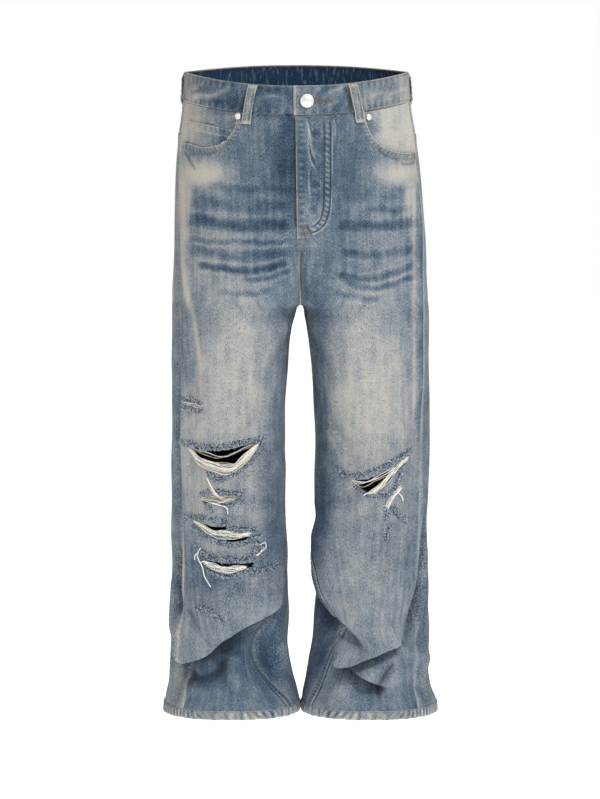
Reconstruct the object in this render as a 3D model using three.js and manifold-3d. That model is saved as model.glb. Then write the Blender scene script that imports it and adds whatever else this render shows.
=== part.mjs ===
// Ripped wide-leg jeans, filled out as they are worn, with nobody in them.
// Millimetres, +Z up, the front faces -Y, the wearer's right leg is on the -X side.
// The origin is the centre of the waist, at the height of the waistband's top edge at the sides.
import * as THREE from "three";
import { mergeVertices } from "three/addons/utils/BufferGeometryUtils.js";
import Module from "manifold-3d";

const wasm = await Module();
wasm.setup();

// ---------------------------------------------------------------- driving dimensions

const GAP = 0.3; // between pieces that touch
const CLOTH = 1.6; // one layer of denim
const BAND_CLOTH = 3.0; // the waistband is a folded strip
const HEM_CLOTH = 3.2; // the hem is three layers
const WAIST_SEAM = -42; // at the sides
const CROTCH = -342;
const HEM_TOP = -949;
const HEM_BOTTOM = -963;
const FRONT_DIP = 19.5; // how far the waist drops at the centre front
const BACK_RISE = 10; // and how far it rises at the centre back
const DIP_ENDS = -260; // the height where both have died out
const LEAN = -6; // how far the waist hangs to the right of the legs
const SQUARENESS = 2.25; // exponent of the ring's superellipse
const PANELS_ACROSS = 10; // cells across each leg panel

const RIGHT = -1;
const LEFT = 1;

// ---------------------------------------------------------------- the form

// One half of the jeans is a stack of rings. Above the crotch a ring runs past the centre plane
// and is cut there; below it the ring closes at the inseam. inner, centre and outer are distances
// from the centre plane: a ring is deepest at its centre.
const RINGS = [
  { z: 12, inner: -163, centre: 0, outer: 163, front: 102, back: 106 },
  { z: 0, inner: -163.5, centre: 0, outer: 163.5, front: 103, back: 108 },
  { z: -42, inner: -167, centre: 0, outer: 167, front: 106, back: 115 },
  { z: -92, inner: -175, centre: 0, outer: 175, front: 111, back: 127 },
  { z: -145, inner: -181, centre: 2, outer: 181, front: 114, back: 137 },
  { z: -197, inner: -184.5, centre: 10, outer: 184.5, front: 116, back: 143 },
  { z: -240, inner: -186, centre: 24, outer: 187, front: 116, back: 142 },
  { z: -280, inner: -150, centre: 42, outer: 188.5, front: 115, back: 138 },
  { z: -303, inner: -100, centre: 53, outer: 189, front: 113, back: 135 },
  { z: -325, inner: -50, centre: 64, outer: 190, front: 112, back: 132 },
  { z: -337, inner: -18, centre: 69.5, outer: 190, front: 111, back: 130 },
  { z: CROTCH, inner: 0.4, centre: 72, outer: 190.5, front: 111, back: 128 },
  { z: -360, inner: 7, centre: 79.5, outer: 191, front: 110, back: 125 },
  { z: -400, inner: 13.5, centre: 92, outer: 192, front: 107, back: 118 },
  { z: -480, inner: 20.5, centre: 104, outer: 193, front: 101, back: 108 },
  { z: -560, inner: 22.5, centre: 107.5, outer: 194, front: 96, back: 100 },
  { z: -640, inner: 23, centre: 108, outer: 193.5, front: 91, back: 94 },
  { z: -720, inner: 20.5, centre: 107.5, outer: 194.5, front: 87, back: 90 },
  { z: -800, inner: 19.8, centre: 108.4, outer: 197, front: 84, back: 86 },
  { z: -855, inner: 19, centre: 108, outer: 197, front: 80, back: 83 },
  { z: -890, inner: 14, centre: 105.5, outer: 197, front: 76, back: 79 },
  { z: -925, inner: 6.5, centre: 103, outer: 200, front: 71, back: 75 },
  { z: -945, inner: 2, centre: 104, outer: 206, front: 69, back: 72 },
  { z: HEM_BOTTOM, inner: 1, centre: 105, outer: 209, front: 68, back: 70 },
];
const MID_LINE = 100; // the panels' grain line runs down at this distance from the centre plane

// Where the side seam lies round the ring, in degrees: 0 is the inner side, 90 the front, 180 the outer side.
const OUTSEAM = [
  { z: 0, angle: 166 },
  { z: -200, angle: 161 },
  { z: CROTCH, angle: 150 },
  { z: -450, angle: 142 },
  { z: -600, angle: 137 },
  { z: HEM_BOTTOM, angle: 132 },
];

// The inseam swings to the front where the lower leg has slumped.
const INSEAM = {
  [RIGHT]: [
    { z: CROTCH, angle: 0 },
    { z: -450, angle: -6 },
    { z: -700, angle: -4 },
    { z: -745, angle: 6 },
    { z: -781, angle: 26 },
    { z: -805, angle: 47 },
    { z: -830, angle: 63 },
    { z: -856, angle: 69 },
    { z: -880, angle: 65 },
    { z: -917, angle: 47 },
    { z: -945, angle: 30 },
    { z: HEM_BOTTOM, angle: 22 },
  ],
  [LEFT]: [
    { z: CROTCH, angle: 0 },
    { z: -450, angle: -6 },
    { z: -670, angle: 0 },
    { z: -724, angle: 20 },
    { z: -760, angle: 35 },
    { z: -790, angle: 54 },
    { z: -814, angle: 67 },
    { z: -838, angle: 58 },
    { z: -862, angle: 46 },
    { z: -887, angle: 39 },
    { z: -914, angle: 33 },
    { z: -940, angle: 26 },
    { z: HEM_BOTTOM, angle: 20 },
  ],
};

// A fold follows a path of points [angle, z]. An "across" fold runs round the leg and a "down" fold
// runs along it. height is how far it stands out, over is its reach above the path (or towards the
// outer side) and under its reach below the path (or towards the inner side).
const FOLDS = {
  [RIGHT]: [
    { run: "across", height: 13, over: 42, under: 9, path: [[150, -882], [131, -874], [102, -859], [86, -837], [59, -811], [38, -789], [12, -760]] },
    { run: "across", height: -12, over: 8, under: 14, path: [[150, -898], [131, -891], [102, -877], [86, -855], [59, -829], [38, -807], [12, -778]] },
    { run: "across", height: -6, over: 9, under: 12, path: [[150, -908], [120, -903], [96, -890]] },
    { run: "down", height: 6, over: 10, under: 9, path: [[92, -866], [97, -908]] },
    { run: "down", height: -6, over: 12, under: 9, path: [[137, -600], [136, -700], [134, -790], [128, -830]] },
    { run: "down", height: -7, over: 22, under: 14, path: [[36, -820], [44, -860], [34, -905]] },
    { run: "across", height: 9, over: 26, under: 14, path: [[196, -784], [240, -800], [285, -790], [330, -774]] },
    { run: "across", height: -8, over: 12, under: 14, path: [[200, -806], [240, -824], [285, -814], [330, -794]] },
    { run: "across", height: 8, over: 20, under: 12, path: [[205, -862], [250, -846], [300, -864], [340, -878]] },
    { run: "across", height: -6, over: 14, under: 14, path: [[215, -596], [270, -606], [325, -594]] },
  ],
  [LEFT]: [
    { run: "across", height: 8, over: 46, under: 10, path: [[4, -690], [25, -722], [34, -756], [52, -788], [70, -809], [86, -816]] },
    { run: "across", height: -9, over: 8, under: 24, path: [[4, -712], [20, -746], [30, -780], [50, -812], [68, -830]] },
    { run: "across", height: 12, over: 40, under: 9, path: [[52, -880], [60, -873], [82, -868], [96, -857], [112, -847], [126, -834]] },
    { run: "across", height: -9, over: 7, under: 11, path: [[62, -890], [82, -884], [98, -872], [114, -862], [128, -850]] },
    { run: "across", height: 7, over: 9, under: 8, path: [[56, -874], [73, -886], [88, -905], [102, -918]] },
    { run: "across", height: -7, over: 8, under: 14, path: [[50, -892], [70, -904], [86, -920], [96, -930]] },
    { run: "down", height: 6, over: 9, under: 9, path: [[109, -866], [99, -912]] },
    { run: "down", height: -7, over: 10, under: 9, path: [[140, -740], [130, -790], [120, -840]] },
    { run: "across", height: 9, over: 26, under: 14, path: [[196, -794], [240, -778], [285, -790], [332, -806]] },
    { run: "across", height: -8, over: 12, under: 14, path: [[200, -816], [240, -800], [285, -814], [330, -828]] },
    { run: "across", height: 8, over: 20, under: 12, path: [[200, -870], [250, -856], [300, -862], [344, -882]] },
    { run: "across", height: -6, over: 14, under: 14, path: [[215, -600], [270, -592], [325, -604]] },
  ],
};
const FOLDS_END = -938; // the hem is too stiff to fold

const degrees = THREE.MathUtils.radToDeg;
const radians = THREE.MathUtils.degToRad;
const smooth = THREE.MathUtils.smoothstep;

// A smooth curve through stations that are sorted from the top down.
function through(stations, z, key) {
  const last = stations.length - 1;
  let i = 0;
  while (i < last - 1 && stations[i + 1].z > z) i += 1;
  const slope = (j) => {
    const above = stations[Math.max(j - 1, 0)];
    const below = stations[Math.min(j + 1, last)];
    return (below[key] - above[key]) / (below.z - above.z);
  };
  const a = stations[i];
  const b = stations[i + 1];
  const span = b.z - a.z;
  const t = THREE.MathUtils.clamp((z - a.z) / span, 0, 1);
  const hermite = t * t * (3 - 2 * t);
  const leave = t * (1 - t) * (1 - t) * span * slope(i);
  const arrive = t * t * (t - 1) * span * slope(i + 1);
  return a[key] + (b[key] - a[key]) * hermite + leave + arrive;
}

function ring(z) {
  const at = (key) => through(RINGS, z, key);
  const centreX = at("centre");
  return {
    centreX,
    centreY: (at("back") - at("front")) / 2,
    inward: centreX - at("inner"),
    outward: at("outer") - centreX,
    deep: (at("back") + at("front")) / 2,
  };
}

const signedPower = (value, power) => Math.sign(value) * Math.abs(value) ** power;

// The angle round the ring, on the front, of a point that far from the centre plane.
function angleAt(x, z) {
  const r = ring(z);
  const wide = x < r.centreX ? r.inward : r.outward;
  const share = THREE.MathUtils.clamp((r.centreX - x) / wide, -1, 1);
  return degrees(Math.acos(signedPower(share, SQUARENESS / 2)));
}

// The waist's front dip and back rise, which die out down the hips.
function dip(angle, z) {
  const frontness = Math.sin(radians(angle));
  const share = smooth(z, DIP_ENDS, WAIST_SEAM);
  return share * (frontness > 0 ? -FRONT_DIP : -BACK_RISE) * frontness * Math.abs(frontness);
}

// How far a fold's path is from a point, in millimetres, and how much of the fold is there.
function foldAt(fold, angle, z) {
  const across = fold.run === "across";
  const along = across ? angle : z;
  const points = fold.path.map(([a, height]) => (across ? { u: a, v: height } : { u: height, v: a }));
  points.sort((p, q) => p.u - q.u);
  const first = points[0].u;
  const last = points[points.length - 1].u;
  const t = THREE.MathUtils.clamp(along, first, last);
  let i = 0;
  while (i < points.length - 2 && points[i + 1].u < t) i += 1;
  const share = (t - points[i].u) / (points[i + 1].u - points[i].u);
  const v = THREE.MathUtils.lerp(points[i].v, points[i + 1].v, smooth(share, 0, 1) * 0.5 + share * 0.5);
  const end = (last - first) * 0.22;
  const strength = smooth(along, first - end, first + end) * (1 - smooth(along, last - end, last + end));
  const distance = across ? z - v : (angle - v) * DEGREE_OF_LEG;
  const reach = distance > 0 ? fold.over : fold.under;
  return fold.height * strength * Math.exp(-((distance / reach) ** 2));
}
const DEGREE_OF_LEG = 1.54; // millimetres round the leg for each degree

function folds(side, angle, z) {
  if (z > -560) return 0;
  const turned = ((angle % 360) + 360) % 360;
  const total = FOLDS[side].reduce((sum, fold) => sum + foldAt(fold, turned, z), 0);
  return total * smooth(z, FOLDS_END - 15, FOLDS_END + 20);
}

const lean = (z) => LEAN * smooth(z, CROTCH, 0);

// A point of the cloth's outer face before any wall thickness.
function skin(side, angle, z) {
  const r = ring(z);
  const swell = folds(side, angle, z);
  const turn = radians(angle);
  const wide = Math.cos(turn) > 0 ? r.inward : r.outward;
  const x = r.centreX - (wide + swell) * signedPower(Math.cos(turn), 2 / SQUARENESS);
  const y = r.centreY - (r.deep + swell) * signedPower(Math.sin(turn), 2 / SQUARENESS);
  return new THREE.Vector3(side * (x + GAP / 2) + lean(z), y, z + dip(angle, z));
}

// The same point moved out along the cloth's own normal.
function layer(side, angle, z, out) {
  const point = skin(side, angle, z);
  const round = skin(side, angle + 0.5, z).sub(skin(side, angle - 0.5, z));
  const down = skin(side, angle, z - 1).sub(skin(side, angle, z + 1));
  const normal = down.cross(round).multiplyScalar(side).normalize();
  return point.addScaledVector(normal, out);
}

const innerAngle = (side, z) => (z > CROTCH ? angleAt(0, z) : through(INSEAM[side], z, "angle"));

// share runs across a panel: on the front from the centre or the inseam to the side seam, and on
// the back from the side seam to the centre or the inseam.
function angleOnPanel(side, face, share, z) {
  const inner = innerAngle(side, z);
  const middle = angleAt(MID_LINE, z);
  const seam = through(OUTSEAM, z, "angle");
  const end = z > CROTCH ? 360 - inner : 360 + inner;
  const stops = face === "front" ? [inner, middle, seam] : [seam, 360 - middle, end];
  const curve =
    stops[0] * (1 - share) * (1 - 2 * share) +
    stops[1] * 4 * share * (1 - share) +
    stops[2] * share * (2 * share - 1);
  const seamGap = degrees(GAP / 2 / ring(z).deep);
  return THREE.MathUtils.clamp(curve, stops[0] + seamGap, stops[2] - seamGap);
}

// A point on the front or back, found by where it is seen from the front.
function placed(x, z, out, face) {
  const side = x < 0 ? RIGHT : LEFT;
  let level = z;
  let angle = 90;
  for (let i = 0; i < 4; i += 1) {
    angle = angleAt(side * (x - lean(level)) - GAP / 2, level);
    if (face === "back") angle = 360 - angle;
    level = z - dip(angle, level);
  }
  return layer(side, angle, level, out);
}

// ---------------------------------------------------------------- making solids

// A closed wall: at(s, t, depth) gives the outer face at depth 0 and the inner face at depth 1,
// for s across and t down, both from 0 to 1. A wrapped wall closes on itself across.
function wall(columns, rows, at, wrapped = false) {
  const across = wrapped ? columns : columns + 1;
  const positions = [];
  for (const depth of [0, 1])
    for (let j = 0; j <= rows; j += 1)
      for (let i = 0; i < across; i += 1) positions.push(...at(i / columns, j / rows, depth).toArray());
  const vertex = (depth, i, j) => (depth * (rows + 1) + j) * across + (i % across);
  const index = [];
  const quad = (a, b, c, d) => index.push(a, b, c, a, c, d);
  for (let j = 0; j < rows; j += 1)
    for (let i = 0; i < columns; i += 1)
      for (const depth of [0, 1]) {
        const corners = [vertex(depth, i, j), vertex(depth, i, j + 1), vertex(depth, i + 1, j + 1), vertex(depth, i + 1, j)];
        quad(...(depth ? corners.reverse() : corners));
      }
  for (let i = 0; i < columns; i += 1) {
    quad(vertex(0, i + 1, 0), vertex(1, i + 1, 0), vertex(1, i, 0), vertex(0, i, 0));
    quad(vertex(0, i, rows), vertex(1, i, rows), vertex(1, i + 1, rows), vertex(0, i + 1, rows));
  }
  if (!wrapped)
    for (let j = 0; j < rows; j += 1) {
      quad(vertex(0, 0, j + 1), vertex(0, 0, j), vertex(1, 0, j), vertex(1, 0, j + 1));
      quad(vertex(0, columns, j + 1), vertex(1, columns, j + 1), vertex(1, columns, j), vertex(0, columns, j));
    }
  return facingOut(positions, index);
}

// An indexed geometry whose faces point outwards, whichever way the points ran.
function facingOut(positions, index) {
  const corner = (k) => new THREE.Vector3().fromArray(positions, index[k] * 3);
  let volume = 0;
  for (let k = 0; k < index.length; k += 3) volume += corner(k).dot(corner(k + 1).cross(corner(k + 2)));
  if (volume < 0)
    for (let k = 0; k < index.length; k += 3) [index[k + 1], index[k + 2]] = [index[k + 2], index[k + 1]];
  return new THREE.BufferGeometry()
    .setAttribute("position", new THREE.Float32BufferAttribute(positions, 3))
    .setIndex(index);
}

function solidOf(geometry) {
  const bare = geometry.clone().deleteAttribute("normal").deleteAttribute("uv");
  const merged = mergeVertices(bare, 1e-3);
  const vertProperties = new Float32Array(merged.getAttribute("position").array);
  const triVerts = new Uint32Array(merged.getIndex().array);
  return new wasm.Manifold(new wasm.Mesh({ numProp: 3, vertProperties, triVerts }));
}

function geometryOf(solid) {
  const mesh = solid.getMesh();
  return new THREE.BufferGeometry()
    .setAttribute("position", new THREE.BufferAttribute(mesh.vertProperties, 3))
    .setIndex(new THREE.BufferAttribute(mesh.triVerts, 1));
}

// A prism with an outline drawn in the front view, [x, z], that reaches from y = from to y = to.
function cutter(shape, from, to) {
  const prism = new THREE.ExtrudeGeometry(shape, { depth: to - from, bevelEnabled: false, curveSegments: 8 });
  prism.rotateX(Math.PI / 2).translate(0, to, 0);
  return solidOf(prism);
}
const FRONT_REACH = -170; // cutters start clear of the cloth, in front of it and behind it
const BACK_REACH = 190;

const cloth = (tint, roughness = 0.95) =>
  new THREE.MeshStandardMaterial({ color: tint, roughness, metalness: 0, flatShading: true });
const FADED_DENIM = cloth(0x8b98a3);
const DARK_DENIM = cloth(0x45576d);
const TRIM_DENIM = cloth(0x7c8791);
const METAL = new THREE.MeshStandardMaterial({ color: 0xd9d9d6, roughness: 0.25, metalness: 1 });

function piece(name, shape, material) {
  const geometry = shape.isBufferGeometry ? shape : geometryOf(shape);
  const mesh = new THREE.Mesh(geometry, material);
  mesh.name = name;
  return mesh;
}

// ---------------------------------------------------------------- leg panels and yokes

// The heights of the panels' rows: wide apart on the thigh, close in the fork and in the folds.
function panelRows() {
  const stretches = [
    { to: -240, rows: 4 },
    { to: -300, rows: 3 },
    { to: CROTCH + 6, rows: 3 },
    { to: CROTCH, rows: 2 },
    { to: -370, rows: 1 },
    { to: -720, rows: 6 },
    { to: HEM_TOP + GAP, rows: 13 },
  ];
  const heights = [WAIST_SEAM - 2 * GAP];
  for (const { to, rows } of stretches) {
    const from = heights[heights.length - 1];
    for (let i = 1; i <= rows; i += 1) heights.push(THREE.MathUtils.lerp(from, to, i / rows));
  }
  return heights;
}

function legPanel(side, face) {
  const heights = panelRows();
  const rows = heights.length - 1;
  return solidOf(
    wall(PANELS_ACROSS, rows, (s, t, depth) => {
      const z = heights[Math.round(t * rows)];
      return layer(side, angleOnPanel(side, face, s, z), z, -CLOTH * depth);
    }),
  );
}

// A rip is a lens: its ends at the two corners, its lips bowed by rise and by sag.
function rip({ from, to, rise, sag }) {
  const middle = [(from[0] + to[0]) / 2, (from[1] + to[1]) / 2];
  const shape = new THREE.Shape();
  shape.moveTo(...from);
  shape.quadraticCurveTo(middle[0], middle[1] - 2 * sag, ...to);
  shape.quadraticCurveTo(middle[0], middle[1] + 2 * rise, ...from);
  return cutter(shape, FRONT_REACH, 0);
}
const RIPS = {
  [RIGHT]: [
    { from: [-160, -540], to: [-57, -537], rise: -9, sag: 44 }, // the wide one at the knee
    { from: [-140, -662], to: [-76, -683], rise: 3, sag: 4 },
    { from: [-126, -718], to: [-96, -722], rise: 3, sag: 3 },
  ],
  [LEFT]: [{ from: [64, -585], to: [156, -556], rise: -10, sag: 44 }],
};

// The pocket mouth is a scoop from the waist seam round to the side seam.
const POCKET_MOUTH = {
  [RIGHT]: { from: 91, depth: -108, side: -102 },
  [LEFT]: { from: 92, depth: -117, side: -117 },
};
function pocketScoop(side) {
  const { from, depth, side: end } = POCKET_MOUTH[side];
  const shape = new THREE.Shape();
  shape.moveTo(side * from, 0);
  shape.lineTo(side * from, -62);
  shape.bezierCurveTo(side * (from + 6), depth + 8, side * (from + 26), depth, side * (from + 54), depth);
  shape.lineTo(side * (from + 74), end);
  shape.lineTo(side * 230, end);
  shape.lineTo(side * 230, 0);
  return cutter(shape, FRONT_REACH, 60);
}

function frontPanel(side) {
  const cuts = [pocketScoop(side), ...RIPS[side].map(rip)];
  return cuts.reduce((left, cut) => left.subtract(cut), legPanel(side, "front"));
}

// The yoke seam runs down from the side seam to the centre back.
const YOKE_AT_SIDE = -84;
const YOKE_AT_BACK = -112;
function yokeCutter(side, lower) {
  const shape = new THREE.Shape();
  shape.moveTo(-side * 15, YOKE_AT_BACK - lower);
  shape.lineTo(side * 230, YOKE_AT_SIDE - lower);
  shape.lineTo(side * 230, 40);
  shape.lineTo(-side * 15, 40);
  return cutter(shape, FRONT_REACH, BACK_REACH);
}

function legGroup(side, name) {
  const group = new THREE.Group();
  const back = legPanel(side, "back");
  group.add(
    piece("front_" + name, frontPanel(side), FADED_DENIM),
    piece("back_" + name, back.subtract(yokeCutter(side, GAP)), FADED_DENIM),
    piece("yoke_" + name, back.intersect(yokeCutter(side, 0)), DARK_DENIM),
    piece("hem_" + name, hem(side), TRIM_DENIM),
  );
  return group;
}

// The hem is a stiff ring of three layers under the panels' cut ends.
function hem(side) {
  const out = (HEM_CLOTH - CLOTH) / 2;
  return wall(
    28,
    1,
    (s, t, depth) => layer(side, s * 360, THREE.MathUtils.lerp(HEM_TOP, HEM_BOTTOM, t), out - HEM_CLOTH * depth),
    true,
  );
}

// ---------------------------------------------------------------- pockets

const EASE = 0.8; // how far a flat patch stands off the curve it is sewn to

// A flat patch sewn to a face of the jeans. outline(s, t) gives its [x, z] in the front view.
function patch(face, out, thickness, outline, columns = 6, rows = 5) {
  return wall(columns, rows, (s, t, depth) => {
    const [x, z] = outline(s, t);
    return placed(x, z, out - thickness * depth, face);
  });
}

// The piece behind the pocket mouth, hung from the waist seam inside the front panel.
const FACING_CLOTH = 1.2;
const COIN_CLOTH = 1.2;
function pocketFacing(side) {
  const behind = -CLOTH - EASE - (side === RIGHT ? COIN_CLOTH + GAP + 0.3 : 0);
  const first = (POCKET_MOUTH[side].from - 22) / 175;
  return wall(6, 5, (s, t, depth) => {
    const start = angleAt(first * 175, WAIST_SEAM);
    const z = THREE.MathUtils.lerp(WAIST_SEAM - GAP, POCKET_MOUTH[side].depth - 8, t);
    const seam = through(OUTSEAM, z, "angle") - 0.3;
    return layer(side, THREE.MathUtils.lerp(start, seam, s), z, behind - FACING_CLOTH * depth);
  });
}

// The coin pocket sits on the right facing, and its inner corner slips under the front panel.
function coinPocket() {
  const corners = { outerTop: [-163, -71], innerTop: [-92, -86], bottom: -124 };
  return patch("front", -CLOTH - EASE, COIN_CLOTH, (s, t) => {
    const x = THREE.MathUtils.lerp(corners.outerTop[0], corners.innerTop[0], s);
    const top = THREE.MathUtils.lerp(corners.outerTop[1], corners.innerTop[1], s);
    return [x, THREE.MathUtils.lerp(top, corners.bottom, t)];
  });
}

// A back pocket has a straight mouth, sides that draw in, and a pointed bottom.
const BACK_POCKET = { top: -124, width: 142, height: 138, point: 22, centre: 86, drawIn: 9, tilt: 5 };
function backPocket(side) {
  const { top, width, height, point, centre, drawIn, tilt } = BACK_POCKET;
  return patch("back", EASE + 0.8 + CLOTH, CLOTH, (s, t) => {
    const across = s * 2 - 1;
    const half = width / 2 - drawIn * t;
    const bottom = top - height - point * (1 - Math.abs(across));
    return [side * (centre + across * half), THREE.MathUtils.lerp(top - tilt * across, bottom, t)];
  });
}

// ---------------------------------------------------------------- fly

// The fly lies over the left front from the waist seam, and its foot turns back to the seam in a J.
const FLY = { edge: -7.5, lean: 3.5, width: 52, foot: -238, turn: 46 };
function fly() {
  const { edge, lean: shift, width, foot, turn } = FLY;
  const seam = WAIST_SEAM - FRONT_DIP - GAP - 0.5;
  return patch(
    "front",
    EASE + 1,
    1,
    (s, t) => {
      const z = THREE.MathUtils.lerp(seam, foot, 1 - (1 - t) ** 1.5);
      const drop = Math.max(0, foot + turn - z) / turn;
      const reach = Math.sqrt(Math.max(0, 1 - drop * drop));
      return [edge + shift * t + s * (6 + (width - 6) * reach), z];
    },
    4,
    10,
  );
}

// ---------------------------------------------------------------- waistband, loops and hardware

const BAND_OUT = 1.4; // the band stands this far proud of the panels
const LAP = { over: -4, under: 50 }; // where the band's two ends are
const FULL_TURN = 360;

// A point of the band: bearing 0 is the centre front, 90 the wearer's left side, 180 the back.
function bandPoint(bearing, z, out) {
  const turned = ((bearing % FULL_TURN) + FULL_TURN) % FULL_TURN;
  return turned < 180 ? layer(LEFT, 90 + turned, z, out) : layer(RIGHT, 90 + FULL_TURN - turned, z, out);
}
const bearingAt = (x) => Math.sign(x) * (angleAt(Math.abs(x), -20) - 90);

function waistband() {
  const first = bearingAt(LAP.over);
  const last = FULL_TURN + bearingAt(LAP.under);
  const strip = wall(46, 2, (s, t, depth) => {
    const bearing = THREE.MathUtils.lerp(first, last, s);
    const tucked = smooth(bearing, FULL_TURN - 9, FULL_TURN - 3) * (BAND_CLOTH + GAP);
    const z = THREE.MathUtils.lerp(0, WAIST_SEAM, t);
    return bandPoint(bearing, z, BAND_OUT - tucked - BAND_CLOTH * depth);
  });
  return solidOf(strip).subtract(buttonhole());
}

// A keyhole slit in the upper end of the band, its eye round the button's shank.
const BUTTON = { x: 9, z: -41, radius: 10, shank: 3.2, height: 5, slit: 32 };
function buttonhole() {
  const { x, z, shank, slit: reach } = BUTTON;
  const eye = shank + GAP;
  const slit = 1.2;
  const shape = new THREE.Shape();
  const lean = Math.asin(slit / eye);
  shape.absarc(x, z, eye, lean, -lean + Math.PI * 2, false);
  shape.lineTo(x + reach, z - slit);
  shape.lineTo(x + reach, z + slit);
  const skinAtButton = placed(x, z, 0, "front").y;
  return cutter(shape, skinAtButton - 8, skinAtButton + BAND_CLOTH - BAND_OUT + 0.2);
}

// Turned hardware, with its axis along the cloth's normal at a point of the front.
function turned(profile, x, z, out) {
  const geometry = new THREE.LatheGeometry(profile.map(([r, h]) => new THREE.Vector2(r, h)), 14);
  const base = placed(x, z, out, "front");
  const normal = placed(x, z, out + 1, "front").sub(base).normalize();
  const turn = new THREE.Quaternion().setFromUnitVectors(new THREE.Vector3(0, 1, 0), normal);
  return geometry.applyQuaternion(turn).translate(...base.toArray());
}

function button() {
  const { x, z, radius, shank, height } = BUTTON;
  const under = -BAND_CLOTH; // the shank ends short of the band's lower end
  const profile = [
    [0, under],
    [shank, under],
    [shank, 1],
    [radius - 1, 1],
    [radius, 2],
    [radius, height - 2],
    [radius - 1.5, height - 0.8],
    [radius * 0.5, height - 1.4],
    [0, height - 1.6],
  ];
  return turned(profile, x, z, BAND_OUT + GAP);
}

const RIVETS = { rivet_right: [-91.5, -65.5], rivet_left: [98, -64.5] };
function rivet([x, z]) {
  const profile = [
    [0, 0],
    [4.6, 0],
    [4.6, 0.8],
    [3.2, 1.5],
    [1.8, 1.3],
    [1.2, 2.2],
    [0, 2.4],
  ];
  return turned(profile, x, z, EASE);
}

// A belt loop is a flat strap, tacked at the band's top edge and below the waist seam.
const LOOP = { width: 13.5, cloth: 2.2, top: -1, bottom: -58, stand: 5.2 };
const LOOPS = {
  loop_front_right: { bearing: -21, lean: 4.5 },
  loop_front_left: { bearing: 28.2, lean: 5 },
  loop_side_right: { bearing: -101, lean: 0 },
  loop_side_left: { bearing: 101, lean: 0 },
  loop_back: { bearing: 180, lean: 0 },
};
function beltLoop({ bearing, lean }) {
  const { width, cloth: thick, top, bottom, stand } = LOOP;
  return wall(2, 8, (s, t, depth) => {
    const z = THREE.MathUtils.lerp(top, bottom, t);
    const rise = smooth(t, 0, 0.16) * (1 - smooth(t, 0.7, 0.9));
    const foot = THREE.MathUtils.lerp(BAND_OUT + EASE, EASE + 0.2, smooth(t, 0.72, 0.8));
    const out = THREE.MathUtils.lerp(foot, stand, rise) + thick * (1 - depth);
    const middle = bandPoint(bearing, z, out);
    const along = bandPoint(bearing + 1, z, out).sub(bandPoint(bearing - 1, z, out)).normalize();
    return middle.addScaledVector(along, (s - 0.5) * width + Math.sign(bearing) * lean * (t - 0.5) * 2);
  });
}

// ---------------------------------------------------------------- the whole garment

const jeans = new THREE.Group();
jeans.name = "ripped jeans";
jeans.add(legGroup(RIGHT, "right"), legGroup(LEFT, "left"));
jeans.add(
  piece("waistband", waistband(), DARK_DENIM),
  piece("fly", fly(), FADED_DENIM),
  piece("pocket_facing_right", pocketFacing(RIGHT), FADED_DENIM),
  piece("pocket_facing_left", pocketFacing(LEFT), FADED_DENIM),
  piece("coin_pocket", coinPocket(), FADED_DENIM),
  piece("back_pocket_right", backPocket(RIGHT), FADED_DENIM),
  piece("back_pocket_left", backPocket(LEFT), FADED_DENIM),
  piece("button", button(), METAL),
);
for (const [name, place] of Object.entries(RIVETS)) jeans.add(piece(name, rivet(place), METAL));
for (const [name, place] of Object.entries(LOOPS)) jeans.add(piece(name, beltLoop(place), TRIM_DENIM));

export default jeans;
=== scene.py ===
import math

import bmesh
import bpy
import numpy as np
from mathutils import Matrix, Vector


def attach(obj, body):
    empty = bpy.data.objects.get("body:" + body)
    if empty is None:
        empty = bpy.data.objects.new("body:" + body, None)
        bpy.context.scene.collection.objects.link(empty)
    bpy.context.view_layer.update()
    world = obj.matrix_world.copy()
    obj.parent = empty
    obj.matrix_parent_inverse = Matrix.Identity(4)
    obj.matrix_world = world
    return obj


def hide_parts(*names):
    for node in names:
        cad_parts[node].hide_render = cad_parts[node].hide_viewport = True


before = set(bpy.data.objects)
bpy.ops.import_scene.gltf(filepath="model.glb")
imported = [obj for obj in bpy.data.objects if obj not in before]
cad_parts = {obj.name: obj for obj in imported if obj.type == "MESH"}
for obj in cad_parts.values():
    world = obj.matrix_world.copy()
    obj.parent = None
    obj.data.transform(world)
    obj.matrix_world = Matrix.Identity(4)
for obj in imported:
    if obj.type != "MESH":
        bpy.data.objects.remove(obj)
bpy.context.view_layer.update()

# ---------------------------------------------------------------- front leg panels
# Each front is one length of denim from the waistband to the hem. It is worn as a tube round the
# leg, cut away at the pocket mouth, and torn open at the knee. Sizes are in millimetres.

RIGHT, LEFT = -1, 1
SIDES = (RIGHT, "right"), (LEFT, "left")
WAIST_SEAM, CROTCH, HEM_TOP, HEM_BOTTOM = -42, -342, -949, -963
FRONT_DIP, BACK_RISE, DIP_ENDS = 19.5, 10, -260
LEAN = -6  # how far the waist hangs to the right of the legs
SQUARENESS = 2.25  # exponent of the ring's superellipse
MID_LINE = 100  # the panels' grain line, from the centre plane
DENIM = 1.3

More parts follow.
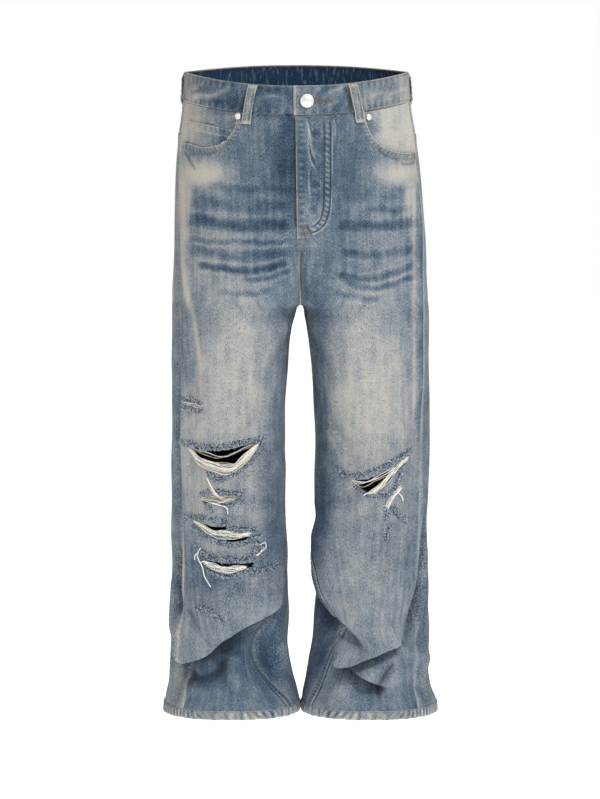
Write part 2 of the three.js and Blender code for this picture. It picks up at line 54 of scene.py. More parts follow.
# A half of the jeans is a stack of rings: height, inner edge, deepest place, outer edge, front, back.
RINGS = [
    (12, -163, 0, 163, 102, 106),
    (0, -163.5, 0, 163.5, 103, 108),
    (-42, -167, 0, 167, 106, 115),
    (-92, -175, 0, 175, 111, 127),
    (-145, -181, 2, 181, 114, 137),
    (-197, -184.5, 10, 184.5, 116, 143),
    (-240, -186, 24, 187, 116, 142),
    (-280, -150, 42, 188.5, 115, 138),
    (-303, -100, 53, 189, 113, 135),
    (-325, -50, 64, 190, 112, 132),
    (-337, -18, 69.5, 190, 111, 130),
    (-342, 0.4, 72, 190.5, 111, 128),
    (-360, 7, 79.5, 191, 110, 125),
    (-400, 13.5, 92, 192, 107, 118),
    (-480, 20.5, 104, 193, 101, 108),
    (-560, 22.5, 107.5, 194, 96, 100),
    (-640, 23, 108, 193.5, 91, 94),
    (-720, 20.5, 107.5, 194.5, 87, 90),
    (-800, 19.8, 108.4, 197, 84, 86),
    (-855, 19, 108, 197, 80, 83),
    (-890, 14, 105.5, 197, 76, 79),
    (-925, 6.5, 103, 200, 71, 75),
    (-945, 2, 104, 206, 69, 72),
    (-963, 1, 105, 209, 68, 70),
]
OUTSEAM = [(0, 166), (-200, 161), (-342, 150), (-450, 142), (-600, 137), (-963, 132)]
INSEAM = {
    RIGHT: [(-342, 0), (-450, -6), (-700, -4), (-745, 6), (-781, 26), (-805, 47), (-830, 63),
            (-856, 69), (-880, 65), (-917, 47), (-945, 30), (-963, 22)],
    LEFT: [(-342, 0), (-450, -6), (-670, 0), (-724, 20), (-760, 35), (-790, 54), (-814, 67),
           (-838, 58), (-862, 46), (-887, 39), (-914, 33), (-940, 26), (-963, 20)],
}


def through(stations, z, column=1):
    """A smooth curve through stations that are sorted from the top down."""
    heights = np.array([row[0] for row in stations], float)
    values = np.array([row[column] for row in stations], float)
    slopes = np.empty_like(values)
    slopes[1:-1] = (values[2:] - values[:-2]) / (heights[2:] - heights[:-2])
    slopes[0] = (values[1] - values[0]) / (heights[1] - heights[0])
    slopes[-1] = (values[-1] - values[-2]) / (heights[-1] - heights[-2])
    i = np.clip(np.searchsorted(-heights, -np.asarray(z, float)) - 1, 0, len(heights) - 2)
    span = heights[i + 1] - heights[i]
    t = np.clip((z - heights[i]) / span, 0, 1)
    rise = (values[i + 1] - values[i]) * t * t * (3 - 2 * t)
    bend = t * (1 - t) ** 2 * slopes[i] + t * t * (t - 1) * slopes[i + 1]
    return values[i] + rise + span * bend


def smooth(x, low, high):
    t = np.clip((x - low) / (high - low), 0, 1)
    return t * t * (3 - 2 * t)


def signed_power(value, power):
    return np.sign(value) * np.abs(value) ** power


def falloff(distance, width, power=2):
    """1 at no distance, and next to nothing two widths away. A high power gives a flat top."""
    return np.exp(-((distance / width) ** power))


def ring(z):
    inner, centre, outer, front, back = (through(RINGS, z, column) for column in range(1, 6))
    return centre, (back - front) / 2, centre - inner, outer - centre, (back + front) / 2


def angle_at(x, z):
    """The angle round the ring, on the front, of a point that far from the centre plane."""
    centre, _, inward, outward, _ = ring(z)
    share = np.clip((centre - x) / np.where(x < centre, inward, outward), -1, 1)
    return np.degrees(np.arccos(signed_power(share, SQUARENESS / 2)))


def dip(angle, z):
    frontness = np.sin(np.radians(angle))
    share = smooth(z, DIP_ENDS, WAIST_SEAM)
    return share * np.where(frontness > 0, -FRONT_DIP, -BACK_RISE) * frontness * np.abs(frontness)


def lean(z):
    return LEAN * smooth(z, CROTCH, 0)


def form(side, angle, z, swell=0.0):
    """The smooth form under the folds: angle 0 is the inseam, 90 the front, 180 the outer side."""
    centre, middle, inward, outward, deep = ring(z)
    turn = np.radians(angle)
    wide = np.where(np.cos(turn) > 0, inward, outward)
    x = centre - (wide + swell) * signed_power(np.cos(turn), 2 / SQUARENESS)
    y = middle - (deep + swell) * signed_power(np.sin(turn), 2 / SQUARENESS)
    return np.stack([side * (x + 0.15) + lean(z), y, z + dip(angle, z)], -1)


ARC = 1.6  # millimetres round the leg for each degree

# A fold follows a path of points (angle, height of the cloth) and stands out by height. To the
# path's right it reaches over, and to its left, which is below a path that runs from the outer side
# inwards, it reaches under. A lap drags the cloth that far over what lies to the left.
# A dark entry, (depth, half width), paints shade along the fold: below the edge of a lapped fold, and on the
# path of any other.
FOLDS = {
    RIGHT: [
        # the deep slanted fold of the lower leg, and the hollow that it overhangs
        dict(height=14, over=46, under=7, lap=12, ends=(0.10, 0.40), dark=(0.96, 5.5),
             path=[(150, -872), (134, -867), (111, -852), (100, -841), (90, -829), (79, -815),
                   (62, -802), (40, -788), (28, -768), (18, -739), (10, -707)]),
        dict(height=9, over=20, under=6, lap=6, ends=(0.3, 0.4),
             path=[(142, -870), (134, -867), (118, -857), (104, -845), (92, -830)]),
        dict(height=-15, over=7, under=19, ends=(0.15, 0.4), dark=(0.6, 10),
             path=[(146, -882), (131, -878), (110, -864), (98, -853), (86, -838), (72, -822),
                   (56, -810)]),
        # the soft pad, the hollow and the pinched cone below it
        dict(height=5, over=8, under=7, ends=(0.3, 0.3),
             path=[(138, -874), (124, -874), (110, -871), (99, -866)]),
        dict(height=-11, over=10, under=9, ends=(0.2, 0.2), dark=(0.58, 6),
             path=[(137, -886), (130, -897), (118, -903), (107, -899), (98, -888), (94, -874),
                   (92, -862)]),
        dict(height=8, over=11, under=5, ends=(0.12, 0.4),
             path=[(88, -856), (89, -874), (89, -892), (88, -920)]),
        dict(height=6, over=12, under=10, ends=(0.3, 0.3),
             path=[(140, -920), (124, -918), (108, -918), (96, -912)]),
        # the crease inside the fold's tip, and the tip pushed out at the side
        dict(height=-6, over=8, under=9, ends=(0.15, 0.3), dark=(0.25, 2.6),
             path=[(131, -790), (124, -801), (118, -812), (110, -825), (100, -835)]),
        dict(height=10, over=15, under=15, ends=(0.35, 0.3),
             path=[(136, -802), (141, -820), (145, -837), (141, -854), (134, -866)]),
        dict(height=-15, over=10, under=9, ends=(0.3, 0.2), dark=(0.6, 5),
             path=[(150, -690), (150, -729), (149, -762), (145, -790), (139, -808)]),
        dict(height=-8, over=9, under=10, ends=(0.4, 0.3), dark=(0.4, 2.4),
             path=[(168, -840), (158, -862), (146, -872), (140, -891), (143, -909), (147, -928)]),
        dict(height=6, over=10, under=14, ends=(0.3, 0.3),
             path=[(164, -730), (162, -780), (160, -820), (162, -860)]),
        # the long edge where the front meets the side
        dict(height=4.5, over=7, under=12, ends=(0.15, 0.2),
             path=[(152, -170), (150, -260), (142, -340), (136, -450), (133, -560), (132, -700),
                   (131, -780)]),
        dict(height=-6, over=9, under=10, ends=(0.15, 0.2),
             path=[(163, -190), (160, -260), (153, -340), (148, -450), (146, -560), (146, -690)]),
        dict(height=-7, over=18, under=22, ends=(0.35, 0.35),
             path=[(36, -806), (46, -840), (50, -878), (34, -918)]),
        dict(height=5, over=18, under=14, ends=(0.4, 0.4), path=[(22, -838), (30, -868), (26, -900)]),
        dict(height=2.2, over=13, under=11, ends=(0.4, 0.4), path=[(112, -742), (96, -776), (88, -800)]),
        dict(height=-3.6, over=26, under=26, ends=(0.2, 0.2), path=[(2, -330), (2, -450), (2, -600)]),
        # drag lines from the crotch
        dict(height=2.2, over=10, under=8, ends=(0.3, 0.5), path=[(20, -352), (50, -392), (76, -440)]),
        dict(height=-2.4, over=9, under=9, ends=(0.3, 0.5), path=[(14, -372), (42, -418), (60, -470)]),
        # shallow folds over the thigh and the knee
        dict(height=1.6, over=9, under=7, ends=(0.3, 0.3), path=[(60, -505), (90, -498), (120, -508)]),
        dict(height=-2.0, over=14, under=14, ends=(0.4, 0.4), path=[(44, -560), (46, -620), (40, -690)]),
        dict(height=2.6, over=10, under=10, ends=(0.4, 0.4), path=[(56, -560), (60, -640), (56, -720)]),
        # behind
        dict(height=9, over=26, under=9, lap=5, ends=(0.3, 0.3),
             path=[(330, -774), (285, -790), (240, -800), (196, -784)]),
        dict(height=-8, over=10, under=14, ends=(0.3, 0.3), dark=(0.25, 6),
             path=[(330, -792), (285, -812), (240, -822), (200, -804)]),
        dict(height=8, over=20, under=9, lap=4, ends=(0.3, 0.3),
             path=[(340, -878), (300, -864), (250, -846), (205, -862)]),
        dict(height=-6, over=14, under=14, ends=(0.3, 0.3), path=[(325, -594), (270, -606), (215, -596)]),
        dict(height=4, over=14, under=12, ends=(0.3, 0.3), path=[(300, -574), (262, -588), (225, -580)]),
        dict(height=-4, over=16, under=16, ends=(0.4, 0.4), path=[(300, -700), (250, -715), (205, -700)]),
        dict(height=4, over=12, under=10, ends=(0.3, 0.4), path=[(340, -350), (310, -376), (278, -386)]),
        dict(height=-4, over=12, under=10, ends=(0.3, 0.4), path=[(344, -372), (312, -400), (285, -410)]),
    ],
    LEFT: [
        # the inner edge of the shin, which turns back over the dark hollow beside the inseam
        dict(height=10, over=44, under=7, lap=8, ends=(0.15, 0.2), dark=(0.5, 4),
             path=[(82, -846), (74, -822), (65, -808), (51, -794), (38, -777), (26, -754), (22, -725),
                   (14, -695), (6, -650)]),
        dict(height=-17, over=24, under=7, ends=(0.3, 0.2), dark=(0.62, 20),
             path=[(0, -700), (10, -740), (18, -768), (34, -792), (50, -808), (60, -820)]),
        dict(height=-6, over=10, under=10, ends=(0.3, 0.3), dark=(0.3, 6),
             path=[(66, -822), (76, -838), (88, -852)]),
        dict(height=2, over=5, under=5, ends=(0.3, 0.2),
             path=[(17, -847), (42, -835), (63, -817), (69, -816)]),
        # the crossing fold above the hem, and the valley under it
        dict(height=12, over=34, under=6, lap=9, ends=(0.10, 0.22), dark=(0.94, 4),
             path=[(118, -837), (112, -843), (99, -849), (88, -860), (74, -870), (58, -870), (50, -864)]),
        dict(height=-12, over=5, under=9, ends=(0.12, 0.2), dark=(0.4, 4),
             path=[(116, -848), (104, -854), (92, -864), (78, -876), (60, -876)]),
        # its inner end stands up as a short edge
        dict(height=7, over=8, under=20, ends=(0.3, 0.2), path=[(60, -830), (57, -848), (56, -868)]),
        # the flap that runs down from its inner end
        dict(height=9, over=16, under=6, lap=6, ends=(0.15, 0.2), dark=(0.6, 4),
             path=[(104, -914), (98, -909), (87, -895), (69, -879), (58, -871), (50, -864)]),
        dict(height=-12, over=6, under=15, ends=(0.2, 0.3), dark=(0.7, 8),
             path=[(102, -922), (88, -906), (72, -891), (58, -880), (48, -870)]),
        dict(height=-7, over=6, under=7, ends=(0.3, 0.3), dark=(0.6, 2.4),
             path=[(110, -870), (102, -889), (98, -908), (97, -925), (98, -938)]),
        dict(height=6, over=6, under=14, ends=(0.3, 0.3),
             path=[(116, -872), (108, -892), (104, -910), (104, -932)]),
        # the outer side's long ridge and the valley beyond it
        dict(height=5, over=7, under=12, ends=(0.12, 0.2),
             path=[(163, -136), (158, -240), (147, -331), (141, -450), (139, -560), (138, -700),
                   (134, -744), (130, -768), (121, -791), (116, -822), (113, -850)]),
        dict(height=-12, over=8, under=8, ends=(0.3, 0.2), dark=(0.42, 4.6),
             path=[(148, -640), (145, -720), (139, -760), (131, -793), (125, -825), (119, -850)]),
        dict(height=5, over=8, under=7, ends=(0.3, 0.2),
             path=[(158, -690), (154, -749), (142, -795), (132, -826), (124, -850)]),
        dict(height=-5, over=7, under=7, ends=(0.3, 0.3),
             path=[(166, -700), (162, -760), (152, -810), (140, -846)]),
        dict(height=6, over=8, under=14, lap=2, ends=(0.3, 0.3),
             path=[(170, -880), (159, -878), (131, -862), (113, -853)]),
        dict(height=-4, over=22, under=12, ends=(0.4, 0.4), path=[(150, -890), (140, -915), (128, -935)]),
        dict(height=3, over=14, under=14, ends=(0.4, 0.4), path=[(96, -700), (102, -760), (98, -820)]),
        dict(height=2.2, over=10, under=8, ends=(0.3, 0.5), path=[(20, -352), (50, -392), (76, -440)]),
        dict(height=-2.4, over=9, under=9, ends=(0.3, 0.5), path=[(14, -372), (42, -418), (60, -470)]),
        dict(height=-6, over=22, under=22, ends=(0.4, 0.4), path=[(0, -640), (0, -690), (0, -735)]),
        dict(height=-4.5, over=28, under=28, ends=(0.3, 0.3), path=[(180, -620), (180, -740), (180, -880)]),
        # the crease that runs in from the inner thigh to the tear, and the one below the tear
        dict(height=-4, over=7, under=12, ends=(0.4, 0.15),
             path=[(40, -490), (52, -520), (66, -550), (76, -584)]),
        dict(height=-5, over=8, under=9, ends=(0.2, 0.4),
             path=[(112, -650), (108, -680), (100, -704), (94, -735)]),
        dict(height=-3, over=12, under=12, ends=(0.4, 0.4), path=[(70, -600), (62, -630), (56, -680)]),
        dict(height=9, over=26, under=9, lap=5, ends=(0.3, 0.3),
             path=[(332, -806), (285, -790), (240, -778), (196, -794)]),
        dict(height=-8, over=10, under=14, ends=(0.3, 0.3), dark=(0.25, 6),
             path=[(330, -826), (285, -812), (240, -798), (200, -814)]),
        dict(height=8, over=20, under=9, lap=4, ends=(0.3, 0.3),
             path=[(344, -882), (300, -862), (250, -856), (200, -870)]),
        dict(height=-6, over=14, under=14, ends=(0.3, 0.3), path=[(325, -604), (270, -592), (215, -600)]),
        dict(height=4, over=14, under=12, ends=(0.3, 0.3), path=[(300, -588), (262, -574), (225, -580)]),
        dict(height=-4, over=16, under=16, ends=(0.4, 0.4), path=[(300, -712), (250, -695), (205, -705)]),
        dict(height=4, over=12, under=10, ends=(0.3, 0.4), path=[(340, -350), (310, -376), (278, -386)]),
        dict(height=-4, over=12, under=10, ends=(0.3, 0.4), path=[(344, -372), (312, -400), (285, -410)]),
    ],
}
FOLDS_END = -946  # the hem is too stiff to fold
SLACK = 12  # degrees past the inseam that still belong to the side they come from
FADES_WITHIN = 2.6  # widths from its path where a fold is worked out
LAP_SET_BACK = 0.9

# The soft unevenness of worn cloth: waves round the leg, millimetres down it, phase, size.
UNEVEN = [(3, 310, 0.4, 0.7), (5, -240, 2.1, 0.6), (7, 190, 4.0, 0.45), (4, 120, 1.2, 0.35),
          (9, -95, 5.2, 0.3), (13, 150, 0.9, 0.26), (17, -210, 3.3, 0.2)]


def rounded(points, steps=6):
    """A path smoothed with Catmull-Rom curves."""
    p = np.array(points, float)
    p = np.vstack([2 * p[0] - p[1], p, 2 * p[-1] - p[-2]])
    t = np.linspace(0, 1, steps, endpoint=False)[:, None]
    a, b, c, d = p[:-3], p[1:-2], p[2:-1], p[3:]
    runs = [
        0.5 * (2 * b[i] + (c[i] - a[i]) * t + (2 * a[i] - 5 * b[i] + 4 * c[i] - d[i]) * t**2
               + (3 * b[i] - a[i] - 3 * c[i] + d[i]) * t**3)
        for i in range(len(a))
    ]
    return np.vstack(runs + [p[-2:-1]])


def near(points, path):
    """For each point: signed distance to the path, share along it, and the way across it."""
    best = np.full(len(points), 1e9)
    signed, along = np.zeros(len(points)), np.zeros(len(points))
    across = np.zeros((len(points), 2))
    lengths = np.linalg.norm(np.diff(path, axis=0), axis=1)
    starts = np.concatenate([[0], np.cumsum(lengths)])
    for i, (a, b) in enumerate(zip(path[:-1], path[1:])):
        way = (b - a) / max(lengths[i], 1e-9)
        t = np.clip((points - a) @ way, 0, lengths[i])
        off = points - a - t[:, None] * way
        distance = np.linalg.norm(off, axis=1)
        closer = distance < best
        best[closer] = distance[closer]
        left = np.array([-way[1], way[0]])
        signed[closer] = (np.sign(off @ left) * distance)[closer]
        along[closer] = ((starts[i] + t) / starts[-1])[closer]
        across[closer] = left
    return signed, along, across


def unwrapped(angle):
    """Angles from just before the inseam to just before it again."""
    return np.where(angle < -SLACK, angle + 360, np.where(angle > 360 - SLACK, angle - 360, angle))


def drape(side, angle, z):
    """The folds at each point: how far it stands out, and how far it is carried round and down."""
    angle, z = (np.asarray(v, float).ravel() for v in np.broadcast_arrays(angle, z))
    out, carried = np.zeros(len(z)), np.zeros((len(z), 2))
    turned = unwrapped(angle)
    points = np.stack([turned * ARC, z], -1)
    stiff = 1 - smooth(-z, -FOLDS_END - 14, -FOLDS_END)
    for fold in FOLDS[side]:
        path = rounded([(a * ARC, height) for a, height in fold["path"]])
        reach = FADES_WITHIN * max(fold["over"], fold["under"])
        low, high = path.min(0) - reach, path.max(0) + reach
        here = ((points > low) & (points < high)).all(1)
        if not here.any():
            continue
        signed, along, across = near(points[here], path)
        signed = signed + LAP_SET_BACK * fold.get("lap", 0)  # the drag then brings the edge to the path
        first, last = fold["ends"]
        strength = smooth(along, 0, first) * (1 - smooth(along, 1 - last, 1)) * stiff[here]
        width = np.where(signed < 0, fold["over"], fold["under"])
        out[here] += fold["height"] * strength * falloff(signed, width)
        if "lap" in fold:
            drag = fold["lap"] * strength * falloff(signed, width * 0.7)
            carried[here] += drag[:, None] * across
    # soft unevenness all over, longer down the leg than across it, and none where the legs join
    turn = np.radians(turned)
    apart = np.maximum(smooth(np.abs(form(side, angle, z)[:, 0]), 5, 60), smooth(-z, -CROTCH, -CROTCH + 90))
    loose = (0.9 * smooth(-z, 100, 420) + 0.8 * smooth(-z, 620, 850)) * apart
    for waves, pitch, phase, size in UNEVEN:
        out += loose * stiff * size * np.sin(waves * turn + 2 * np.pi * z / pitch + phase + side)
    return out, carried


def cloth(side, angle, z, out=0.0):
    """A point of the draped cloth, moved out along its normal by out. Metres."""
    shape = np.broadcast(angle, z).shape
    angle = np.broadcast_to(angle, shape).astype(float).ravel()
    z = np.broadcast_to(z, shape).astype(float).ravel()
    stands, carried = drape(side, angle, z)
    angle, level = angle + carried[:, 0] / ARC, z + carried[:, 1]
    round_it = form(side, angle + 0.5, level) - form(side, angle - 0.5, level)
    down = form(side, angle, level - 1) - form(side, angle, level + 1)
    normal = np.cross(down, round_it) * side
    normal /= np.linalg.norm(normal, axis=1)[:, None]
    if np.ndim(out):
        out = np.broadcast_to(out, shape).ravel()
    points = form(side, angle, level) + normal * (stands + out)[:, None]
    return points.reshape(shape + (3,)) / 1000


def panel_angle(side, face, share, z):
    """share runs from the centre or the inseam to the side seam, and on the back the other way."""
    above = z > CROTCH
    inner = np.where(above, angle_at(0, z), through(INSEAM[side], z))
    middle = angle_at(MID_LINE, z)
    seam = through(OUTSEAM, z)
    if face == "front":
        a, b, c = inner, middle, seam
    else:
        a, b, c = seam, 360 - middle, np.where(above, 360 - inner, 360 + inner)
    return a * (1 - share) * (1 - 2 * share) + b * 4 * share * (1 - share) + c * share * (2 * share - 1)


def outline_distance(points, corners):
    """Signed distance to a closed outline, less than nothing inside it."""
    distance = np.full(len(points), 1e9)
    inside = np.zeros(len(points), bool)
    for a, b in zip(corners, np.roll(corners, -1, axis=0)):
        edge = b - a
        t = np.clip((points - a) @ edge / (edge @ edge), 0, 1)
        distance = np.minimum(distance, np.linalg.norm(points - a - t[:, None] * edge, axis=1))
        crosses = (a[1] > points[:, 1]) != (b[1] > points[:, 1])
        at = a[0] + (points[:, 1] - a[1]) / np.where(crosses, b[1] - a[1], 1) * edge[0]
        inside ^= crosses & (points[:, 0] < at)
    return np.where(inside, -distance, distance)


# Holes of the tears, and the scoop of the pocket mouth, as outlines in the front view.
HOLES = {
    RIGHT: [
        [(-158, -543), (-146, -549), (-131, -549), (-119, -548), (-107, -548), (-93, -544),
         (-80, -540), (-66, -538), (-68, -549), (-78, -558), (-90, -567), (-104, -572), (-122, -571),
         (-140, -565), (-152, -556)],
        [(-146, -659), (-131, -663), (-119, -664), (-109, -663), (-110, -668), (-119, -670),
         (-133, -668)],
        [(-112, -681), (-94, -680), (-78, -679), (-79, -683), (-94, -686), (-108, -686)],
        [(-140, -715), (-124, -717), (-111, -718), (-99, -717), (-87, -719), (-70, -718), (-73, -725),
         (-88, -726), (-104, -727), (-124, -726)],
    ],
    LEFT: [
        [(78, -593), (96, -592), (109, -587), (126, -580), (138, -574), (153, -565), (153, -571),
         (144, -579), (136, -590), (127, -601), (118, -609), (105, -612), (94, -610), (85, -603)],
    ],
}
SCOOP = {
    RIGHT: rounded([(-90, -30), (-91, -60), (-95, -80), (-104, -94), (-120, -105), (-144, -108),
                    (-166, -103), (-200, -101)]),
    LEFT: rounded([(91, -30), (92, -60), (97, -80), (107, -97), (122, -109), (144, -116), (166, -117),
                   (200, -117)]),
}


def cut_outlines(side):
    mouth = np.vstack([SCOOP[side], [(side * 230, SCOOP[side][-1, 1]), (side * 230, 40), (side * 90, 40)]])
    return [rounded(t + t[:1], 4)[:-1] for t in HOLES[side]] + [mouth]


def front_view(side, face, share, z):
    angle = panel_angle(side, face, share, z)
    return form(side, angle, z)[..., [0, 2]]


def grid(columns, rows):
    """A flat grid whose X and Y run from 0 to 1."""
    bm = bmesh.new()
    bmesh.ops.create_grid(bm, x_segments=columns, y_segments=rows, size=0.5)
    bmesh.ops.translate(bm, verts=bm.verts, vec=(0.5, 0.5, 0))
    return bm


def into_mesh(name, bm):
    mesh = bpy.data.meshes.new(name)
    bm.to_mesh(mesh)
    bm.free()
    return mesh


def dress(mesh, *materials):
    """Gives a mesh its smooth shading and its materials."""
    mesh.polygons.foreach_set("use_smooth", np.ones(len(mesh.polygons), bool))
    for material in materials:
        mesh.materials.append(material)


def spots(mesh):
    flat = np.empty(len(mesh.vertices) * 3)
    mesh.vertices.foreach_get("co", flat)
    return flat.reshape(-1, 3)


def as_object(name, mesh):
    made = bpy.data.objects.new(name, mesh)
    bpy.context.scene.collection.objects.link(made)
    return made


def note(mesh, **layers):
    """Stores a value for each vertex, which the denim's nodes read by name."""
    for name, values in layers.items():
        layer = mesh.attributes.new(name, "FLOAT", "POINT")
        layer.data.foreach_set("value", np.ascontiguousarray(values, np.float32))


def lay_out(mesh, across, along):
    """A UV map in metres of cloth, across the grain and along it."""
    uv = mesh.uv_layers.new(name="Cloth")
    corners = np.empty(len(mesh.loops), np.int32)
    mesh.loops.foreach_get("vertex_index", corners)
    flat = np.stack([across[corners], along[corners]], -1) / 1000
    uv.data.foreach_set("uv", flat.astype(np.float32).ravel())


def blob(x, z, centre, size):
    """A soft round patch, 1 in its middle."""
    return np.exp(-(((x - centre[0]) / size[0]) ** 2) - ((z - centre[1]) / size[1]) ** 2)


def band(x, z, path, width):
    """A soft line along a path in the front view."""
    path = rounded(path)
    signed, along, _ = near(np.stack([x, z], -1), path)
    ends = smooth(along, 0, 0.18) * (1 - smooth(along, 0.82, 1))
    return falloff(signed, width) * ends


# Whiskers: dark bands kept between the worn ridges of the lap, [path, half width, depth].
WHISKERS = {
    RIGHT: [
        ([(-140, -163), (-110, -165), (-60, -167), (-8, -168)], 6, 0.20),
        ([(-168, -188), (-120, -191), (-60, -192), (-8, -191)], 9, 0.30),
        ([(-168, -212), (-123, -217), (-72, -219), (-8, -219)], 9.5, 0.52),
        ([(-163, -241), (-108, -243), (-60, -243), (-8, -240)], 4, 0.34),
        ([(-162, -257), (-108, -262), (-58, -262), (-8, -256)], 8, 0.38),
        ([(-153, -277), (-116, -282), (-79, -284), (-43, -279), (-12, -271)], 5.5, 0.58),
        ([(-84, -296), (-55, -295), (-30, -289), (-10, -282)], 4, 0.34),
        ([(-124, -315), (-95, -319), (-72, -317), (-40, -311)], 4.5, 0.30),
    ],
    LEFT: [
        ([(95, -197), (125, -198), (145, -197), (168, -193)], 5, 0.26),
        ([(50, -216), (95, -221), (138, -220), (172, -214)], 7.5, 0.40),
        ([(55, -255), (94, -261), (130, -261), (170, -256)], 6, 0.30),
        ([(50, -289), (87, -297), (123, -291), (170, -280)], 5.5, 0.40),
        ([(60, -301), (101, -309), (138, -304), (170, -296)], 4.5, 0.44),
        ([(48, -315), (79, -324), (118, -326)], 5, 0.28),
        ([(130, -166), (150, -168), (170, -164)], 3, 0.16),
    ],
}


def whisker(x, z, path, width):
    """A dark band with crisp edges, and the pale lines that run along them."""
    path = rounded(path)
    waver = 1.1 * np.sin(x / 15 + path[0, 1]) + 0.7 * np.sin(x / 4.3 + 2 * path[0, 1])
    signed, along, _ = near(np.stack([x, z + waver], -1), path)
    ends = smooth(along, 0, 0.08) * (1 - smooth(along, 0.9, 1))
    patchy = 0.84 + 0.16 * np.sin(x / 13 + z / 4 + path[0, 1])
    dark = 0.66 * np.exp(-(np.abs(signed / width) ** 2.6)) * patchy
    pale = falloff(np.abs(signed) - width - 2.6, 1.9)
    return (dark - 0.13 * pale) * ends


# The middle of the double row of stitches beside the fly.
FLY_ROWS = [(38, -62), (38.5, -120), (38, -184), (34, -208), (24, -221), (8, -227)]
# Lines beside the legs' outer edges: a worn ridge, painted shade in the groove behind it, and a bend.
RIDGE = {
    RIGHT: [(-176, -128), (-172, -190), (-170, -260), (-165, -316), (-156, -356), (-148, -411),
            (-146, -461)],
    LEFT: [(166, -128), (166, -200), (166, -280), (165, -360), (166, -440), (167, -545)],
}
GROOVE = {
    RIGHT: [(-184, -190), (-180, -260), (-176, -317), (-172, -365), (-168, -414), (-166, -470)],
    LEFT: [(176, -190), (176, -280), (176, -380), (177, -480), (179, -600), (180, -700)],
}
BEND = {
    RIGHT: [(-190, -300), (-187, -348), (-180, -388), (-176, -429), (-173, -485), (-172, -560),
            (-170, -640)],
    LEFT: [(176, -560), (175, -616), (174, -678), (175, -749)],
}
# Creases beside the buttons of the fly, pale with a dark side.
FLY_CREASES = [
    [(8, -66), (12, -84), (11, -104), (14, -124), (26, -146)],
    [(47, -62), (50, -82), (48, -104)],
    [(13, -134), (12, -158), (14, -180)],
]


